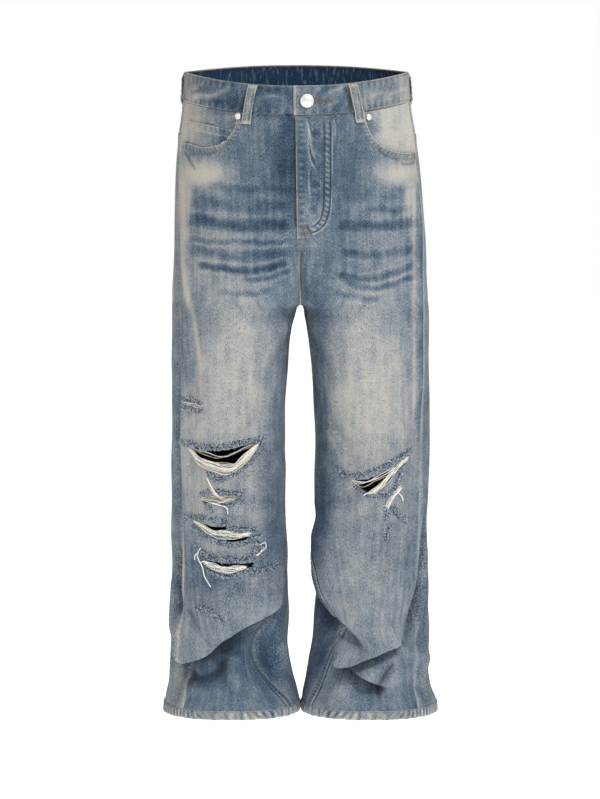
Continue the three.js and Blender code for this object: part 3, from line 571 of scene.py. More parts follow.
def wash(side, angle, x, z):
    """How faded the cloth is, from 0 to 1, and how warm its fade is."""

    def patch(centre, size):
        return blob(x, z, centre, size)

    right = side == RIGHT
    facing = smooth(np.sin(np.radians(np.mod(angle, 360))), -0.1, 0.6)
    grain = 0.5 + 0.5 * np.sin(x / 23 + 1.3 * np.sin(z / 61) + side)
    fade = 0.44 + 0.03 * grain
    warm = 0.16 + 0.08 * grain
    # the long, warm fade down the thigh, the knee and below it
    middle = side * 103
    thigh = patch((middle - side * 6, -455), (66, 132))
    knee = patch((middle + side * 8, -560), (60, 96))
    below = patch((middle + side * 14, -720), (56, 90))
    fade += facing * (0.29 * thigh + 0.10 * knee + 0.03 * below)
    warm += facing * (0.40 * thigh + 0.42 * knee + 0.30 * below)
    # the belly beside the fly keeps its blue
    fade -= (0.13 if right else 0.18) * facing * patch((side * 30, -130), (56, 80))
    fade -= 0.05 * smooth(z, -330, -280)
    if right:
        fade -= 0.14 * facing * patch((-18, -140), (20, 84))
    warm -= 0.14 * facing * patch((side * 40, -190), (90, 130))
    # the hips are pale beside and below the pocket mouths
    strip = patch((-170, -172), (13, 52)) if right else patch((160, -172), (9, 44))
    hip = np.maximum(patch((side * 146, -146), (44, 19)), 0.85 * strip)
    fade += 0.50 * hip
    warm += 0.85 * hip
    # the lap between the whiskers
    lap = facing * smooth(z, -360, -310) * (1 - smooth(z, -190, -150)) * patch((side * 105, -255), (84, 120))
    fade += 0.13 * lap
    warm += 0.12 * lap
    for path, width, depth in WHISKERS[side]:
        band_here = whisker(x, z, path, width) * facing
        fade -= depth * band_here
        warm -= 0.6 * depth * band_here
    # the outer edge of the front: the worn ridge, the bend, and painted shade in the groove
    fade += 0.24 * band(x, z, RIDGE[side], 3.6 if right else 2.2)
    fade += 0.13 * band(x, z, BEND[side], 2.2) - 0.12 * band(x, z, GROOVE[side], 5.5)
    warm += (0.6 if right else 0.2) * band(x, z, RIDGE[side], 4.5)
    if right:
        # the worn lips of the tears, and the blue kept under the lowest
        fade -= 0.16 * facing * patch((-108, -752), (46, 20))
        outer = patch((-142, -590), (26, 84))
        tongue = patch((-112, -693), (40, 9))
        warm += facing * (0.6 * outer + 0.5 * tongue)
        fade += facing * (0.18 * outer + 0.14 * tongue)
    else:
        # the J of stitches beside the fly, with the cloth drawn up between its two rows
        signed, along, _ = near(np.stack([x, z], -1), rounded(FLY_ROWS))
        shown = smooth(along, 0.02, 0.10) * (1 - smooth(along, 0.94, 1))
        rungs = np.sin(z / 1.25 + x / 3 + 1.2 * np.sin(z / 11))
        fade += shown * (0.10 + 0.20 * rungs) * falloff(signed, 3.3, 6)
        fade -= shown * 0.42 * falloff(np.abs(signed) - 4.6, 0.9)
        fade += shown * 0.36 * falloff(signed - 6.4, 1.0)
        for crease in FLY_CREASES:
            fade += 0.30 * band(x, z, crease, 1.4) - 0.16 * band(x, z, [(a + 2.4, b) for a, b in crease], 1.6)
    # beside the inseam and the crotch it stays blue
    inner = facing * smooth(-np.abs(x), -62, -20) * smooth(-z, 240, 345) * (1 - smooth(-z, 640, 800))
    fade -= (0.06 if right else 0.2) * inner
    warm -= 0.34 * inner
    # the lower leg is cooler, and the right one darker towards its hem
    low = smooth(-z, 690, 880)
    fade += facing * low * 0.02
    warm -= 0.10 * low
    if right:
        # painted shade over the lower right shin, towards the hem
        shade = patch((-85, -890), (90, 62)) * facing
        fade -= 0.20 * shade + 0.14 * facing * patch((-40, -905), (36, 60))
        warm -= 0.10 * shade
        fade -= 0.10 * facing * patch((-42, -600), (22, 130))
        fade += 0.10 * patch((-146, -150), (40, 22)) - 0.10 * facing * patch((-85, -745), (90, 60))
        fade -= facing * 0.16 * patch((-100, -540), (60, 100))
        fade -= facing * 0.05 * patch((-100, -660), (80, 60))
        fade += 0.10 * facing * patch((-40, -820), (30, 60))
    else:
        fade += 0.02 * patch((110, -850), (80, 100)) * facing
        fade -= 0.16 * facing * patch((30, -640), (16, 150))
        fade += 0.12 * band(x, z, [(35, -517), (50, -545), (69, -581)], 2.4)
        fade -= 0.06 * smooth(x, 146, 160) + 0.20 * smooth(x, 168, 178)
        fade -= 0.10 * facing * patch((110, -255), (80, 70))
        fade -= facing * (0.10 * patch((100, -590), (60, 80)) + 0.06 * patch((146, -146), (40, 30)))
        fade -= 0.07 * facing * smooth(-z, 800, 880)
    return np.clip(fade, 0, 1.1), np.clip(warm, 0, 1)


# Painted shade on the front, in lines where a piece or a crease would shadow the cloth: [path, half width,
# depth].
SHADE_LINES = [
    # painted shadow along the fly's edge, and painted shade below its end
    ([(-7.8, -60), (-7.7, -145), (-6.8, -226.5)], 1.5, 0.66),
    ([(-11.6, -60), (-10.7, -145), (-9.7, -228.5)], 4.5, 0.28),
    ([(1.9, -253.5), (1, -290.5), (0, -338)], 2.5, 0.62),
    ([(5.8, -276), (7.8, -305), (9.7, -331)], 3.1, 0.34),
    ([(5, -338), (7, -361), (10, -385)], 3.0, 0.72),
    ([(-2.9, -220.5), (8.7, -218.5), (14.5, -226.5)], 1.4, 0.5),
    ([(3.9, -224.5), (6.8, -234), (7.7, -243.5)], 1.5, 0.5),
    ([(8.7, -219.5), (13.5, -228), (17.4, -236)], 1.4, 0.5),
    # painted shadow under the waist seam and beside the loops
    ([(-67, -62.1), (-38.8, -63), (-8.7, -68.8)], 1.1, 0.5),
    ([(-20.3, -60), (-14.5, -65), (-8.7, -69.8)], 2.7, 0.5),
    ([(1.9, -64.9), (38.8, -63), (71.9, -56.3)], 0.9, 0.42),
    ([(5.8, -67.8), (29, -67.8), (56.3, -64)], 2.5, 0.2),
    ([(-65, -29), (-68, -48.5), (-69, -71)], 1.5, 0.5),
    ([(-81.7, -35), (-84.6, -58.4), (-86.5, -74)], 0.9, 0.34),
    ([(64, -19.5), (69, -39), (72.8, -61)], 2.5, 0.66),
    ([(88.6, -23.4), (89.5, -39), (92.5, -53.5)], 1.2, 0.34),
    ([(-175, -3), (-175, -26)], 1.6, 0.92),
    ([(165, -5), (164, -43)], 1.6, 0.85),
    # painted shade in the creases of the band
    ([(-162, -27.7), (-137.5, -29.4)], 2.2, 0.26),
    ([(-130, -40), (-107.5, -42)], 3.9, 0.22),
    ([(107.5, -34.2), (120.5, -33.3), (131.6, -27.5)], 1.5, 0.3),
    # painted shadow under the pocket mouths, and painted shade in the crease at each outer end
    ([(-164.7, -118.4), (-136.9, -118.3), (-112, -109), (-94.3, -88.5)], 0.9, 0.42),
    ([(-169, -114.6), (-162.4, -126), (-152, -142)], 1.9, 0.6),
    ([(107.2, -102.3), (122, -119.1), (146.2, -128.6)], 1.0, 0.4),
    ([(146.2, -132.5), (157.6, -133), (168.5, -131)], 1.4, 0.5),
]
FRONT_ONLY = 0.03  # metres behind the waist's centre where the front's lines stop


def line_shade(points):
    """How much painted shade lies along those lines. points in metres."""
    x, z = points[:, 0] * 1000, points[:, 2] * 1000
    total = np.zeros(len(x))
    for path, half, depth in SHADE_LINES:
        (x0, z0), (x1, z1) = np.min(path, 0) - 3 * half, np.max(path, 0) + 3 * half
        close = (points[:, 1] < FRONT_ONLY) & (x > x0) & (x < x1) & (z > z0) & (z < z1)
        signed, along, _ = near(np.stack([x[close], z[close]], -1), rounded(path, 4))
        ends = smooth(along, 0, 0.08) * (1 - smooth(along, 0.9, 1))
        total[close] = 1 - (1 - total[close]) * (1 - depth * ends * falloff(signed, half))
    return total


UNDER_LAP = 0.9  # the shade of a lapped fold lies that many half widths below its edge


def fold_shade(side, angle, z):
    """Painted shade under and inside the deep folds, where their shadow falls and little light comes."""
    points = np.stack([unwrapped(angle) * ARC, z], -1)
    total = np.zeros(len(z))
    for fold in FOLDS[side]:
        if "dark" not in fold:
            continue
        depth, half = fold["dark"]
        path = rounded([(a * ARC, height) for a, height in fold["path"]])
        low, high = path.min(0) - 3 * half, path.max(0) + 3 * half
        here = ((points > low) & (points < high)).all(1)
        if not here.any():
            continue
        signed, along, _ = near(points[here], path)
        first, last = fold["ends"]
        strength = smooth(along, 0, 0.5 * first) * (1 - smooth(along, 1 - last, 1))
        away = signed - (UNDER_LAP * half if "lap" in fold else 0)
        total[here] = 1 - (1 - total[here]) * (1 - depth * strength * falloff(away, half))
    return total


PANEL_GRID = {"front": (88, 430), "back": (66, 300)}
PANEL_WIDTH = {"front": 185, "back": 235}
SEAM_WIDTH = 9  # a felled seam, with a row of stitches near each edge
DARKEST = 0.96


def finish_cloth(made, points, across, along, wall, outside, inside, shade=0, **values):
    """Puts a flat grid in its draped place, and gives it its wall, grain, values and materials."""
    mesh = made.data
    mesh.vertices.foreach_set("co", points.ravel())
    # the shade value is painted shade, from the lines and from the folds
    note(mesh, shade=np.clip(1 - (1 - line_shade(points)) * (1 - shade), 0, DARKEST), **values)
    lay_out(mesh, across, along)
    dress(mesh, outside, inside)
    shell = made.modifiers.new("wall", "SOLIDIFY")
    shell.thickness, shell.offset = wall / 1000, -1
    shell.material_offset = 1


def face_out(made, axis):
    """Turns the mesh round if its faces point at the axis, an [x, y] in metres."""
    mesh = made.data
    away = sum((p.center.x - axis[0]) * p.normal.x + (p.center.y - axis[1]) * p.normal.y
               for p in mesh.polygons)
    if away < 0:
        mesh.flip_normals()


def pull_to(share, z, outlines, side, cell):
    """Moves the grid's points that are near an outline onto it."""
    for _ in range(2):
        seen = front_view(side, "front", share, z)
        wide = np.abs(front_view(side, "front", np.minimum(share + 0.01, 1), z)[:, 0]
                      - front_view(side, "front", np.maximum(share - 0.01, 0), z)[:, 0]) / 0.02
        for outline in outlines:
            d = outline_distance(seen, outline)
            dx = (outline_distance(seen + (0.5, 0), outline) - d) / 0.5
            dz = (outline_distance(seen + (0, 0.5), outline) - d) / 0.5
            snap = (np.abs(d) < cell) & (share > 0) & (share < 1) & (wide > 40)
            share = np.where(snap, np.clip(share - side * d * dx / np.maximum(wide, 40), 0, 1), share)
            z = np.where(snap, z - d * dz, z)
    return share, z


def front_panel(name, side):
    columns, rows = PANEL_GRID["front"]
    bm = grid(columns, rows)
    spot = np.array([v.co[:] for v in bm.verts])
    top, bottom = WAIST_SEAM - 0.3, HEM_TOP - 3
    share, z = spot[:, 0], top + (bottom - top) * spot[:, 1]
    outlines = cut_outlines(side)
    share, z = pull_to(share, z, outlines, side, 0.6 * (top - bottom) / rows)
    seen = front_view(side, "front", share, z)
    gone = np.min([outline_distance(seen, outline) for outline in outlines], axis=0)
    bm.verts.ensure_lookup_table()
    doomed = [f for f in bm.faces if np.mean([gone[v.index] for v in f.verts]) < -0.05]
    for v, a, b in zip(bm.verts, share, z):
        v.co = (a, b, 0)
    bmesh.ops.delete(bm, geom=doomed, context="FACES")
    mesh = into_mesh(name, bm)
    spot = spots(mesh)
    share, z = spot[:, 0].copy(), spot[:, 1].copy()
    angle = panel_angle(side, "front", share, z)
    seen = front_view(side, "front", share, z)
    x, height = seen[:, 0], seen[:, 1]
    width = PANEL_WIDTH["front"]
    across = (share - 0.5) * width
    from_seam = np.minimum(share, 1 - share) * width
    lips = np.min([np.abs(outline_distance(seen, o)) for o in outlines[:-1]], axis=0)
    mouth = np.abs(outline_distance(seen, outlines[-1]))
    fray = frayed(side, x, height)
    felled = falloff(share * width - SEAM_WIDTH / 2, SEAM_WIDTH * 0.55, 6) * smooth(-height, 330, 350)
    ladder = np.sin(2 * np.pi * z / 5.2 + 1.5 * np.sin(z / 17) + across / 4)
    hemmed = falloff(mouth, 9.5, 6)
    rungs = np.sin(mouth / 3 + np.arctan2(height + 60, side * x - 150) * 62)
    raised = felled * (0.9 + 0.35 * ladder) + hemmed * (0.8 + 0.32 * rungs)
    raised += 1.5 * falloff(lips, 6) * (0.6 + 0.4 * np.sin(across / 2.6 + 2 * np.sin(z / 7)))
    raised += 0.5 * fray * np.sin(x / 1.9 + 2 * np.sin(height / 3)) * np.sin(height / 1.7)
    fade, warm = wash(side, angle, x, height)
    stands, _ = drape(side, angle, z)
    fade += 0.012 * np.clip(stands, -8, 8) + 0.16 * felled * (ladder - 1)
    fade += 0.13 * hemmed * rungs + 0.05 * hemmed
    fade += 0.26 * falloff(share * width - SEAM_WIDTH - 1, 1.6) * smooth(-height, 330, 350)
    fade -= 0.5 * falloff(share * width - SEAM_WIDTH - 3.4, 1.1) * smooth(-height, 330, 350)
    worn = 1.1 * falloff(mouth, 2.2) + 0.45 * falloff(from_seam, 2.0)
    made = as_object(name, mesh)
    finish_cloth(made, cloth(side, angle, z, raised), across, z, DENIM, faded_denim, denim_back,
                 shade=fold_shade(side, angle, z), fade=fade, warm=warm * (1 - 0.8 * fray), worn=worn, fray=fray)
    face_out(made, (side * 0.1, 0))
    return made


# Where the blue warp ends stand up as fluff: [path, half width].
FRINGES = {
    RIGHT: [
        ([(-180, -538), (-172, -539), (-156, -541), (-141, -544), (-126, -544), (-110, -542),
          (-95, -539), (-80, -536), (-66, -535), (-56, -534)], 4.0),
        ([(-135, -582), (-127, -590), (-118, -592), (-108, -588), (-95, -582), (-83, -573),
          (-71, -563), (-62, -555), (-57, -543)], 4.0),
        ([(-145, -615), (-138, -612), (-131, -609)], 3.2),
        ([(-122, -609), (-104, -613), (-88, -615)], 3.6),
        ([(-140, -627), (-136, -633), (-131, -639)], 3.6),
        ([(-115, -629), (-101, -628), (-88, -626)], 3.6),
        ([(-170, -652), (-154, -650), (-139, -651), (-124, -654), (-112, -658)], 3.6),
        ([(-107, -665), (-89, -668), (-71, -669)], 3.4),
        ([(-158, -666), (-150, -674), (-138, -681), (-122, -686), (-107, -690), (-92, -690),
          (-77, -685), (-62, -678)], 3.4),
        ([(-156, -694), (-146, -703), (-132, -710), (-114, -713), (-96, -713), (-77, -712),
          (-69, -707), (-67, -696), (-67, -687)], 3.8),
        ([(-137, -730), (-123, -737), (-108, -739), (-98, -735), (-84, -731), (-63, -731),
          (-40, -728)], 3.6),
        ([(-62, -692), (-54, -698), (-60, -706)], 3.6),
        ([(-170, -476), (-158, -474), (-146, -479)], 3.0),
        ([(-169, -486), (-156, -490), (-145, -489)], 3.0),
        ([(-152, -787), (-140, -785), (-128, -790), (-122, -794)], 3.2),
    ],
    LEFT: [
        ([(57, -580), (66, -588), (81, -587), (96, -583), (108, -578), (123, -573), (135, -566),
          (147, -559), (161, -551)], 3.6),
        ([(80, -603), (88, -611), (99, -615), (114, -616), (127, -616), (136, -609), (143, -596),
          (147, -580)], 3.0),
        ([(126, -632), (129, -645), (126, -652)], 3.0),
        ([(132, -661), (131, -672), (127, -682)], 4.0),
        ([(136, -634), (144, -645), (156, -656)], 4.0),
    ],
}


def frayed(side, x, z):
    """1 where the cloth is broken down to fluff, and 0 where it is whole."""
    points = np.stack([x, z], -1)
    total = np.zeros(len(x))
    for path, width in FRINGES[side]:
        signed, _, _ = near(points, rounded(path))
        total = np.maximum(total, falloff(signed, width + 0.6, 4))
    return total


class Socket:
    """One output of a shader node, with arithmetic that adds the nodes it needs."""

    def __init__(self, tree, output):
        self.tree, self.output = tree, output

    def node(self, kind, values=None, out=0, stops=None, **settings):
        """Adds a node with its settings, plain socket values and links, and gives one of its outputs."""
        made = self.tree.nodes.new(kind)
        for key, value in settings.items():
            setattr(made, key, value)
        if stops:
            elements = made.color_ramp.elements
            while len(elements) < len(stops):
                elements.new(1.0)
            for element, (place, tint) in zip(elements, stops):
                element.position, element.color = place, tint
        for key, value in (values or {}).items():
            if isinstance(value, Socket):
                self.tree.links.new(value.output, made.inputs[key])
            else:
                made.inputs[key].default_value = value
        return Socket(self.tree, made.outputs[out])

    def maths(self, operation, *others, clamp=False):
        values = dict(enumerate((self, *others)))
        return self.node("ShaderNodeMath", values, operation=operation, use_clamp=clamp)

    def __add__(self, other):
        return self.maths("ADD", other)

    __radd__ = __add__

    def __mul__(self, other):
        return self.maths("MULTIPLY", other)

    __rmul__ = __mul__

    def __sub__(self, other):
        return self.maths("SUBTRACT", other)

    def __rsub__(self, other):
        return (self * -1) + other

    def clamped(self):
        return self.maths("ADD", 0.0, clamp=True)

    def mixed(self, first, second):
        """A colour between first and second, by this value."""
        return self.node("ShaderNodeMix", {0: self, 6: first, 7: second}, out=2, data_type="RGBA")

    def to(self, shader, socket):
        self.tree.links.new(self.output, shader.inputs[socket])


def colour(red, green, blue):
    """Linear colour from the 0 to 255 values of a swatch."""
    parts = [v / 255 for v in (red, green, blue)]
    linear = [v / 12.92 if v <= 0.04045 else ((v + 0.055) / 1.055) ** 2.4 for v in parts]
    return (*linear, 1.0)


def blank_material(name, **settings):
    material = bpy.data.materials.new(name)
    material.use_nodes = True
    shader = material.node_tree.nodes["Principled BSDF"]
    for key, value in settings.items():
        shader.inputs[key.replace("_", " ")].default_value = value
    return material, shader, Socket(material.node_tree, None)


# Washed indigo, from the unfaded dye to the bare white weft.
WASH_STOPS = [
    (0.00, colour(29, 46, 68)),
    (0.20, colour(60, 80, 101)),
    (0.42, colour(98, 114, 128)),
    (0.62, colour(136, 146, 153)),
    (0.82, colour(169, 171, 170)),
    (1.00, colour(206, 203, 195)),
]
DUST = colour(188, 180, 168)
# Near black, towards which the painted shade darkens the cloth.
PAINTED_SHADE_TINT = colour(15, 16, 19)


def denim(name, dust=DUST):
    """Washed twill: its fade follows the cloth's own values, broken up along the warp."""
    material, shader, start = blank_material(name, Roughness=0.92, Specular_IOR_Level=0.2, Sheen_Weight=0.08)
    grain = start.node("ShaderNodeUVMap", uv_map="Cloth")
    fade, warm, worn, fray, shade = (start.node("ShaderNodeAttribute", attribute_name=value, out=2)
                                     for value in ("fade", "warm", "worn", "fray", "shade"))

    def noise(across, along, detail=2.0, rough=0.5):
        place = start.node("ShaderNodeMapping", {0: grain, 3: (across, along, 1)})
        values = {0: place, "Scale": 1.0, "Detail": detail, "Roughness": rough}
        return start.node("ShaderNodeTexNoise", values)

    slub = noise(1000, 300, 2, 0.6) - 0.5
    speck = noise(1250, 950, 2, 0.7) - 0.5
    cloud = noise(60, 44, 4, 0.65) - 0.5
    smear = noise(15, 9, 3, 0.6) - 0.5
    streak = noise(170, 13, 3, 0.6) - 0.5
    fluff = noise(560, 420, 1, 0.5) - 0.5
    amount = fade + slub * 1.0 + speck * 1.15 + cloud * 0.42 + smear * 0.40 + streak * 0.42 + worn * 0.42
    amount = amount + fray * (fluff * 4.4 - 0.14)
    washed = amount.node("ShaderNodeValToRGB", {0: amount}, stops=WASH_STOPS)
    warmth = (warm * 0.9 + cloud * 0.9 + smear * 0.8 + streak * 0.3).clamped()
    tint = warmth * (amount * 1.5 - 0.35).clamped() * 0.85
    # the painted shade, stored on each vertex, darkens the washed colour towards near black
    shade.mixed(tint.mixed(washed, dust), PAINTED_SHADE_TINT).to(shader, "Base Color")
    slant = start.node("ShaderNodeMapping", {0: grain, 2: (0, 0, math.radians(62))})
    wave = {0: slant, "Scale": 190.0, "Distortion": 1.5, "Detail": 1.0}
    twill = start.node("ShaderNodeTexWave", wave, out=1)
    height = twill * 0.25 + slub * 1.2 + speck * 1.3 + fray * fluff * 3.0
    bump = start.node("ShaderNodeBump", {"Strength": 0.6, "Distance": 0.0008, "Height": height})
    bump.to(shader, "Normal")
    return material


def plain_cloth(name, dark, light, rough=0.95):
    """The undyed or evenly dyed side of the cloth, with its weave."""
    material, shader, start = blank_material(name, Roughness=rough, Specular_IOR_Level=0.15)
    grain = start.node("ShaderNodeUVMap", uv_map="Cloth")
    weave = start.node("ShaderNodeMapping", {0: grain, 3: (420, 150, 1)})
    slub = start.node("ShaderNodeTexNoise", {0: weave, "Scale": 1.0, "Detail": 3.0})
    ((slub - 0.5) * 2.5 + 0.5).clamped().mixed(dark, light).to(shader, "Base Color")
    start.node("ShaderNodeBump", {"Strength": 0.4, "Distance": 0.0006, "Height": slub}).to(shader, "Normal")
    return material


faded_denim = denim("faded_denim")
worn_denim = denim("worn_denim", colour(186, 176, 160))
seam_denim = denim("seam_denim", colour(186, 174, 154))
denim_back = plain_cloth("denim_back", colour(34, 48, 66), colour(70, 86, 104))


def lining_cloth():
    """The band's inside: dark blue, with pale slanting puckers and a brown stitched top edge."""
    material, shader, start = blank_material("band_lining", Roughness=0.95, Specular_IOR_Level=0.15)
    grain = start.node("ShaderNodeUVMap", uv_map="Cloth")
    worn = start.node("ShaderNodeAttribute", attribute_name="worn", out=2)
    fine = start.node("ShaderNodeMapping", {0: grain, 3: (700, 500, 1)})
    weave = start.node("ShaderNodeTexNoise", {0: fine, "Scale": 1.0})
    slant = start.node("ShaderNodeMapping", {0: grain, 2: (0, 0, math.radians(-38)), 3: (260, 60, 1)})
    pucker = start.node("ShaderNodeTexNoise", {0: slant, "Scale": 1.0, "Detail": 1.0})
    cloth_tone = ((weave - 0.5) * 1.6 + 0.35).clamped().mixed(colour(24, 48, 76), colour(66, 94, 122))
    streaked = ((pucker - 0.53) * 3.4).clamped().mixed(cloth_tone, colour(118, 144, 166))
    worn.clamped().mixed(streaked, colour(128, 104, 82)).to(shader, "Base Color")
    start.node("ShaderNodeBump", {"Strength": 0.5, "Distance": 0.001, "Height": pucker}).to(shader, "Normal")
    return material


band_lining = lining_cloth()


def ride(made, slot, *nodes):
    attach(made, "root")
    if nodes:
        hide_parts(*nodes)


for side, which in SIDES:
    front = front_panel(f"front_panel_{which}", side)
    ride(front, "faded_denim", f"front_{which}")

# ---------------------------------------------------------------- back leg panels and yokes
# The backs are wider than the fronts and join them at the side seams and inseams. The yoke is a
# shaped strip above each back, felled to it with two rows of stitches.

YOKE_AT_SIDE, YOKE_AT_BACK = -84, -112
YOKE_ROWS = 26


def yoke_line(side, x):
    return YOKE_AT_BACK + (YOKE_AT_SIDE - YOKE_AT_BACK) * (side * x + 15) / 245


def back_wash(side, angle, x, z):
    behind = smooth(-np.sin(np.radians(angle)), -0.05, 0.6)
    seat = blob(np.abs(x), z, (88, -240), (62, 74)) * behind
    thigh = blob(np.abs(x), z, (100, -560), (52, 240)) * behind
    honeycomb = blob(np.abs(x), z, (100, -600), (86, 60)) * behind
    ripple = np.sin(z / 7.5 + 1.6 * np.sin(x / 19) + side)
    under_seat = blob(np.abs(x), z, (92, -352), (78, 34)) * behind * np.sin(z / 5.6 + 1.2 * np.sin(x / 23))
    side_seam = 1 - smooth(-np.sin(np.radians(angle)), -0.05, 0.3)
    # the strip by the side seam that shows from in front: pale at the hip and dark lower down
    low = smooth(-z, 330, 520)
    fade = 0.40 + 0.30 * seat + 0.16 * thigh + 0.10 * honeycomb * ripple + 0.12 * under_seat
    outer = smooth(-np.cos(np.radians(angle)), -0.2, 0.4)
    at_hip, lower_down = (0.16, 0.05) if side == RIGHT else (0.06, -0.08)
    fade += side_seam * outer * (at_hip * (1 - low) + lower_down * low)
    fade -= side_seam * (1 - outer) * 0.13
    warm = 0.18 + 0.30 * seat + 0.2 * thigh + 0.3 * side_seam * outer - 0.1 * side_seam * (1 - outer)
    by_pocket = side_seam * outer * smooth(z, -130, -110)
    fade, warm = fade + 0.16 * by_pocket, warm + 0.4 * by_pocket
    return fade, warm


def back_piece(name, side, above):
    columns, rows = PANEL_GRID["back"]
    mesh = into_mesh(name, grid(columns, YOKE_ROWS if above else rows))
    spot = spots(mesh)
    share, t = spot[:, 0].copy(), spot[:, 1].copy()
    seam = np.full(len(share), -95.0)
    for _ in range(6):
        seen = form(side, panel_angle(side, "back", share, seam), seam)
        seam += yoke_line(side, seen[:, 0]) - seen[:, 2]
    if above:
        z = WAIST_SEAM - 0.3 + t * (seam + 0.2 - WAIST_SEAM)
    else:
        z = seam - 0.3 + t * (HEM_TOP - 3 - seam)
    angle = panel_angle(side, "back", share, z)
    width = PANEL_WIDTH["back"]
    across = (share - 0.5) * width
    from_edge = np.minimum.reduce([share * width, (1 - share) * width, np.abs(z - seam)])
    felled = falloff(np.abs(z - seam), SEAM_WIDTH, 6) * (0 if above else 1)
    felled = np.maximum(felled, falloff((1 - share) * width, SEAM_WIDTH, 6) * smooth(z, -330, -300))
    ladder = np.sin(z / 1.1 + across / 1.1)
    raised = felled * (0.8 + 0.3 * ladder)
    place = form(side, angle, z)
    fade, warm = back_wash(side, angle, place[:, 0], place[:, 2])
    stands, _ = drape(side, angle, z)
    fade += 0.014 * np.clip(stands, -8, 8) + 0.16 * felled * ladder - 0.05 * felled
    made = as_object(name, mesh)
    finish_cloth(made, cloth(side, angle, z, raised), across, z, DENIM, worn_denim, denim_back,
                 fade=fade, warm=warm, worn=0.7 * falloff(from_edge, 2.2), fray=0 * z,
                 shade=fold_shade(side, angle, z))
    face_out(made, (side * 0.1, 0))
    return made


for side, which in SIDES:
    back = back_piece(f"back_panel_{which}", side, False)
    ride(back, "worn_denim", f"back_{which}")
    yoke = back_piece(f"yoke_sheet_{which}", side, True)
    ride(yoke, "worn_denim", f"yoke_{which}")

# ---------------------------------------------------------------- hems
# Each hem is the leg's end turned up twice and stitched down. Its stitches have drawn it into slanting
# ridges, which are worn pale, and its lower edge is scuffed.

HEM_CLOTH = 3.2


def sew(name, columns, rows, place, wall, outside, inside, axis):
    """A piece on a grid of its own. place(s, t) gives its points, its grain and its values."""
    mesh = into_mesh(name, grid(columns, rows))
    spot = spots(mesh)
    points, across, along, values = place(spot[:, 0].copy(), spot[:, 1].copy())
    made = as_object(name, mesh)
    finish_cloth(made, points, across, along, wall, outside, inside, **values)
    face_out(made, axis)
    return made


def hem_place(side):
    def place(s, t):
        angle, z = s * 360, HEM_TOP + (HEM_BOTTOM - HEM_TOP) * t
        length = s * 540
        slant = length + 5 * t
        rope = np.sin(2 * np.pi * slant / 8.3 + 2.6 * np.sin(length / 31) + 1.5 * np.sin(length / 11 + z / 9))
        rope *= 0.62 + 0.38 * np.sin(length / 17 + 2)
        middle = np.sin(np.pi * np.clip(t, 0, 1)) ** 0.6
        raised = 0.6 + middle * (0.5 + 0.75 * rope)
        chewed = 0.7 * np.sin(length / 3.1) * np.sin(length / 7.7 + 1)
        fade = 0.52 + 0.27 * rope * middle + 0.06 * chewed + 0.08 * np.sin(length / 2.3) * middle
        worn = 0.55 * falloff(1 - t, 0.16) + 0.3 * falloff(t, 0.1)
        warm = 0.3 + 0.35 * np.clip(rope, 0, 1)
        values = dict(fade=fade, warm=warm, worn=worn, fray=0.35 * falloff(1 - t, 0.12))
        return cloth(side, angle, z + chewed * 0.8 * t, raised), length, z, values
    return place


for side, which in SIDES:
    hem = sew(f"hem_roll_{which}", 420, 10, hem_place(side), HEM_CLOTH, seam_denim, denim_back,
              (side * 0.1, 0))
    ride(hem, "seam_denim", f"hem_{which}")

# ---------------------------------------------------------------- pocket facings and coin pocket
# Behind each scooped mouth a facing of the same denim hangs from the waist seam. The right one
# carries the coin pocket, whose mouth is hemmed with two rows of stitches.

MOUTH_DEPTH = {RIGHT: -112, LEFT: -121}


def seen_at(side, x, z, face="front"):
    """The angle and height of the form's point that is seen there from the front."""
    level = z
    for _ in range(5):
        angle = angle_at(side * (x - lean(level)) - 0.15, level)
        if face == "back":
            angle = 360 - angle
        level = z - dip(angle, level)
    return angle, level


def on_front(x, z, out=0.0, face="front"):
    """A point of the draped cloth, found by where it is seen from the front."""
    x, z, out = (np.array(v, float) for v in np.broadcast_arrays(x, z, out))
    points = np.empty(x.shape + (3,))
    for side in (RIGHT, LEFT):
        here = (x < 0) if side == RIGHT else (x >= 0)
        if here.any():
            angle, level = seen_at(side, x[here], z[here], face)
            points[here] = cloth(side, angle, level, out[here])
    return points


def facing_place(side):
    behind = -DENIM - 1.0 - (1.6 if side == RIGHT else 0)

    def place(s, t):
        first = angle_at(MOUTH_INNER[side] - 22, WAIST_SEAM)
        z = WAIST_SEAM - 0.3 + (MOUTH_DEPTH[side] - WAIST_SEAM) * t
        angle = first + (through(OUTSEAM, z) + 1.5 - first) * s
        seen = form(side, angle, z)
        x = side * seen[:, 0]
        if side == LEFT:
            fade = 0.52 + 0.34 * smooth(x, 98, 124) - 0.12 * blob(x, seen[:, 2], (150, -112), (26, 9))
            warm = 0.35 + 0.35 * smooth(x, 100, 130)
            fade = fade - 0.18 * blob(x, seen[:, 2], (107, -78), (11, 9))
        else:
            fade = 0.46 + 0.34 * smooth(x, 118, 160)
            warm = 0.2 + 0.8 * smooth(x, 124, 165)
        soft = 0.6 * np.sin(x / 13 + 1) + 0.5 * np.sin(x / 7 + seen[:, 2] / 9)
        worn = 0.4 * falloff((1 - s) * 110, 3)
        level = behind * (1 - smooth(s, 0.78, 0.97)) + 0.5 * smooth(s, 0.9, 1)
        return cloth(side, angle, z, level + 0.4 * soft * smooth(t, 0.1, 0.4)), x, z, dict(
            fade=fade + 0.04 * soft, warm=warm, worn=worn, fray=0 * z)
    return place


MOUTH_INNER = {RIGHT: 91, LEFT: 92}
for side, which in SIDES:
    facing = sew(f"facing_sheet_{which}", 60, 44, facing_place(side), 1.1, faded_denim, denim_back,
                 (side * 0.1, 0.05))
    ride(facing, "faded_denim", f"pocket_facing_{which}")

COIN = {"outer_top": (-165, -70), "inner_top": (-90, -85), "bottom": -126}


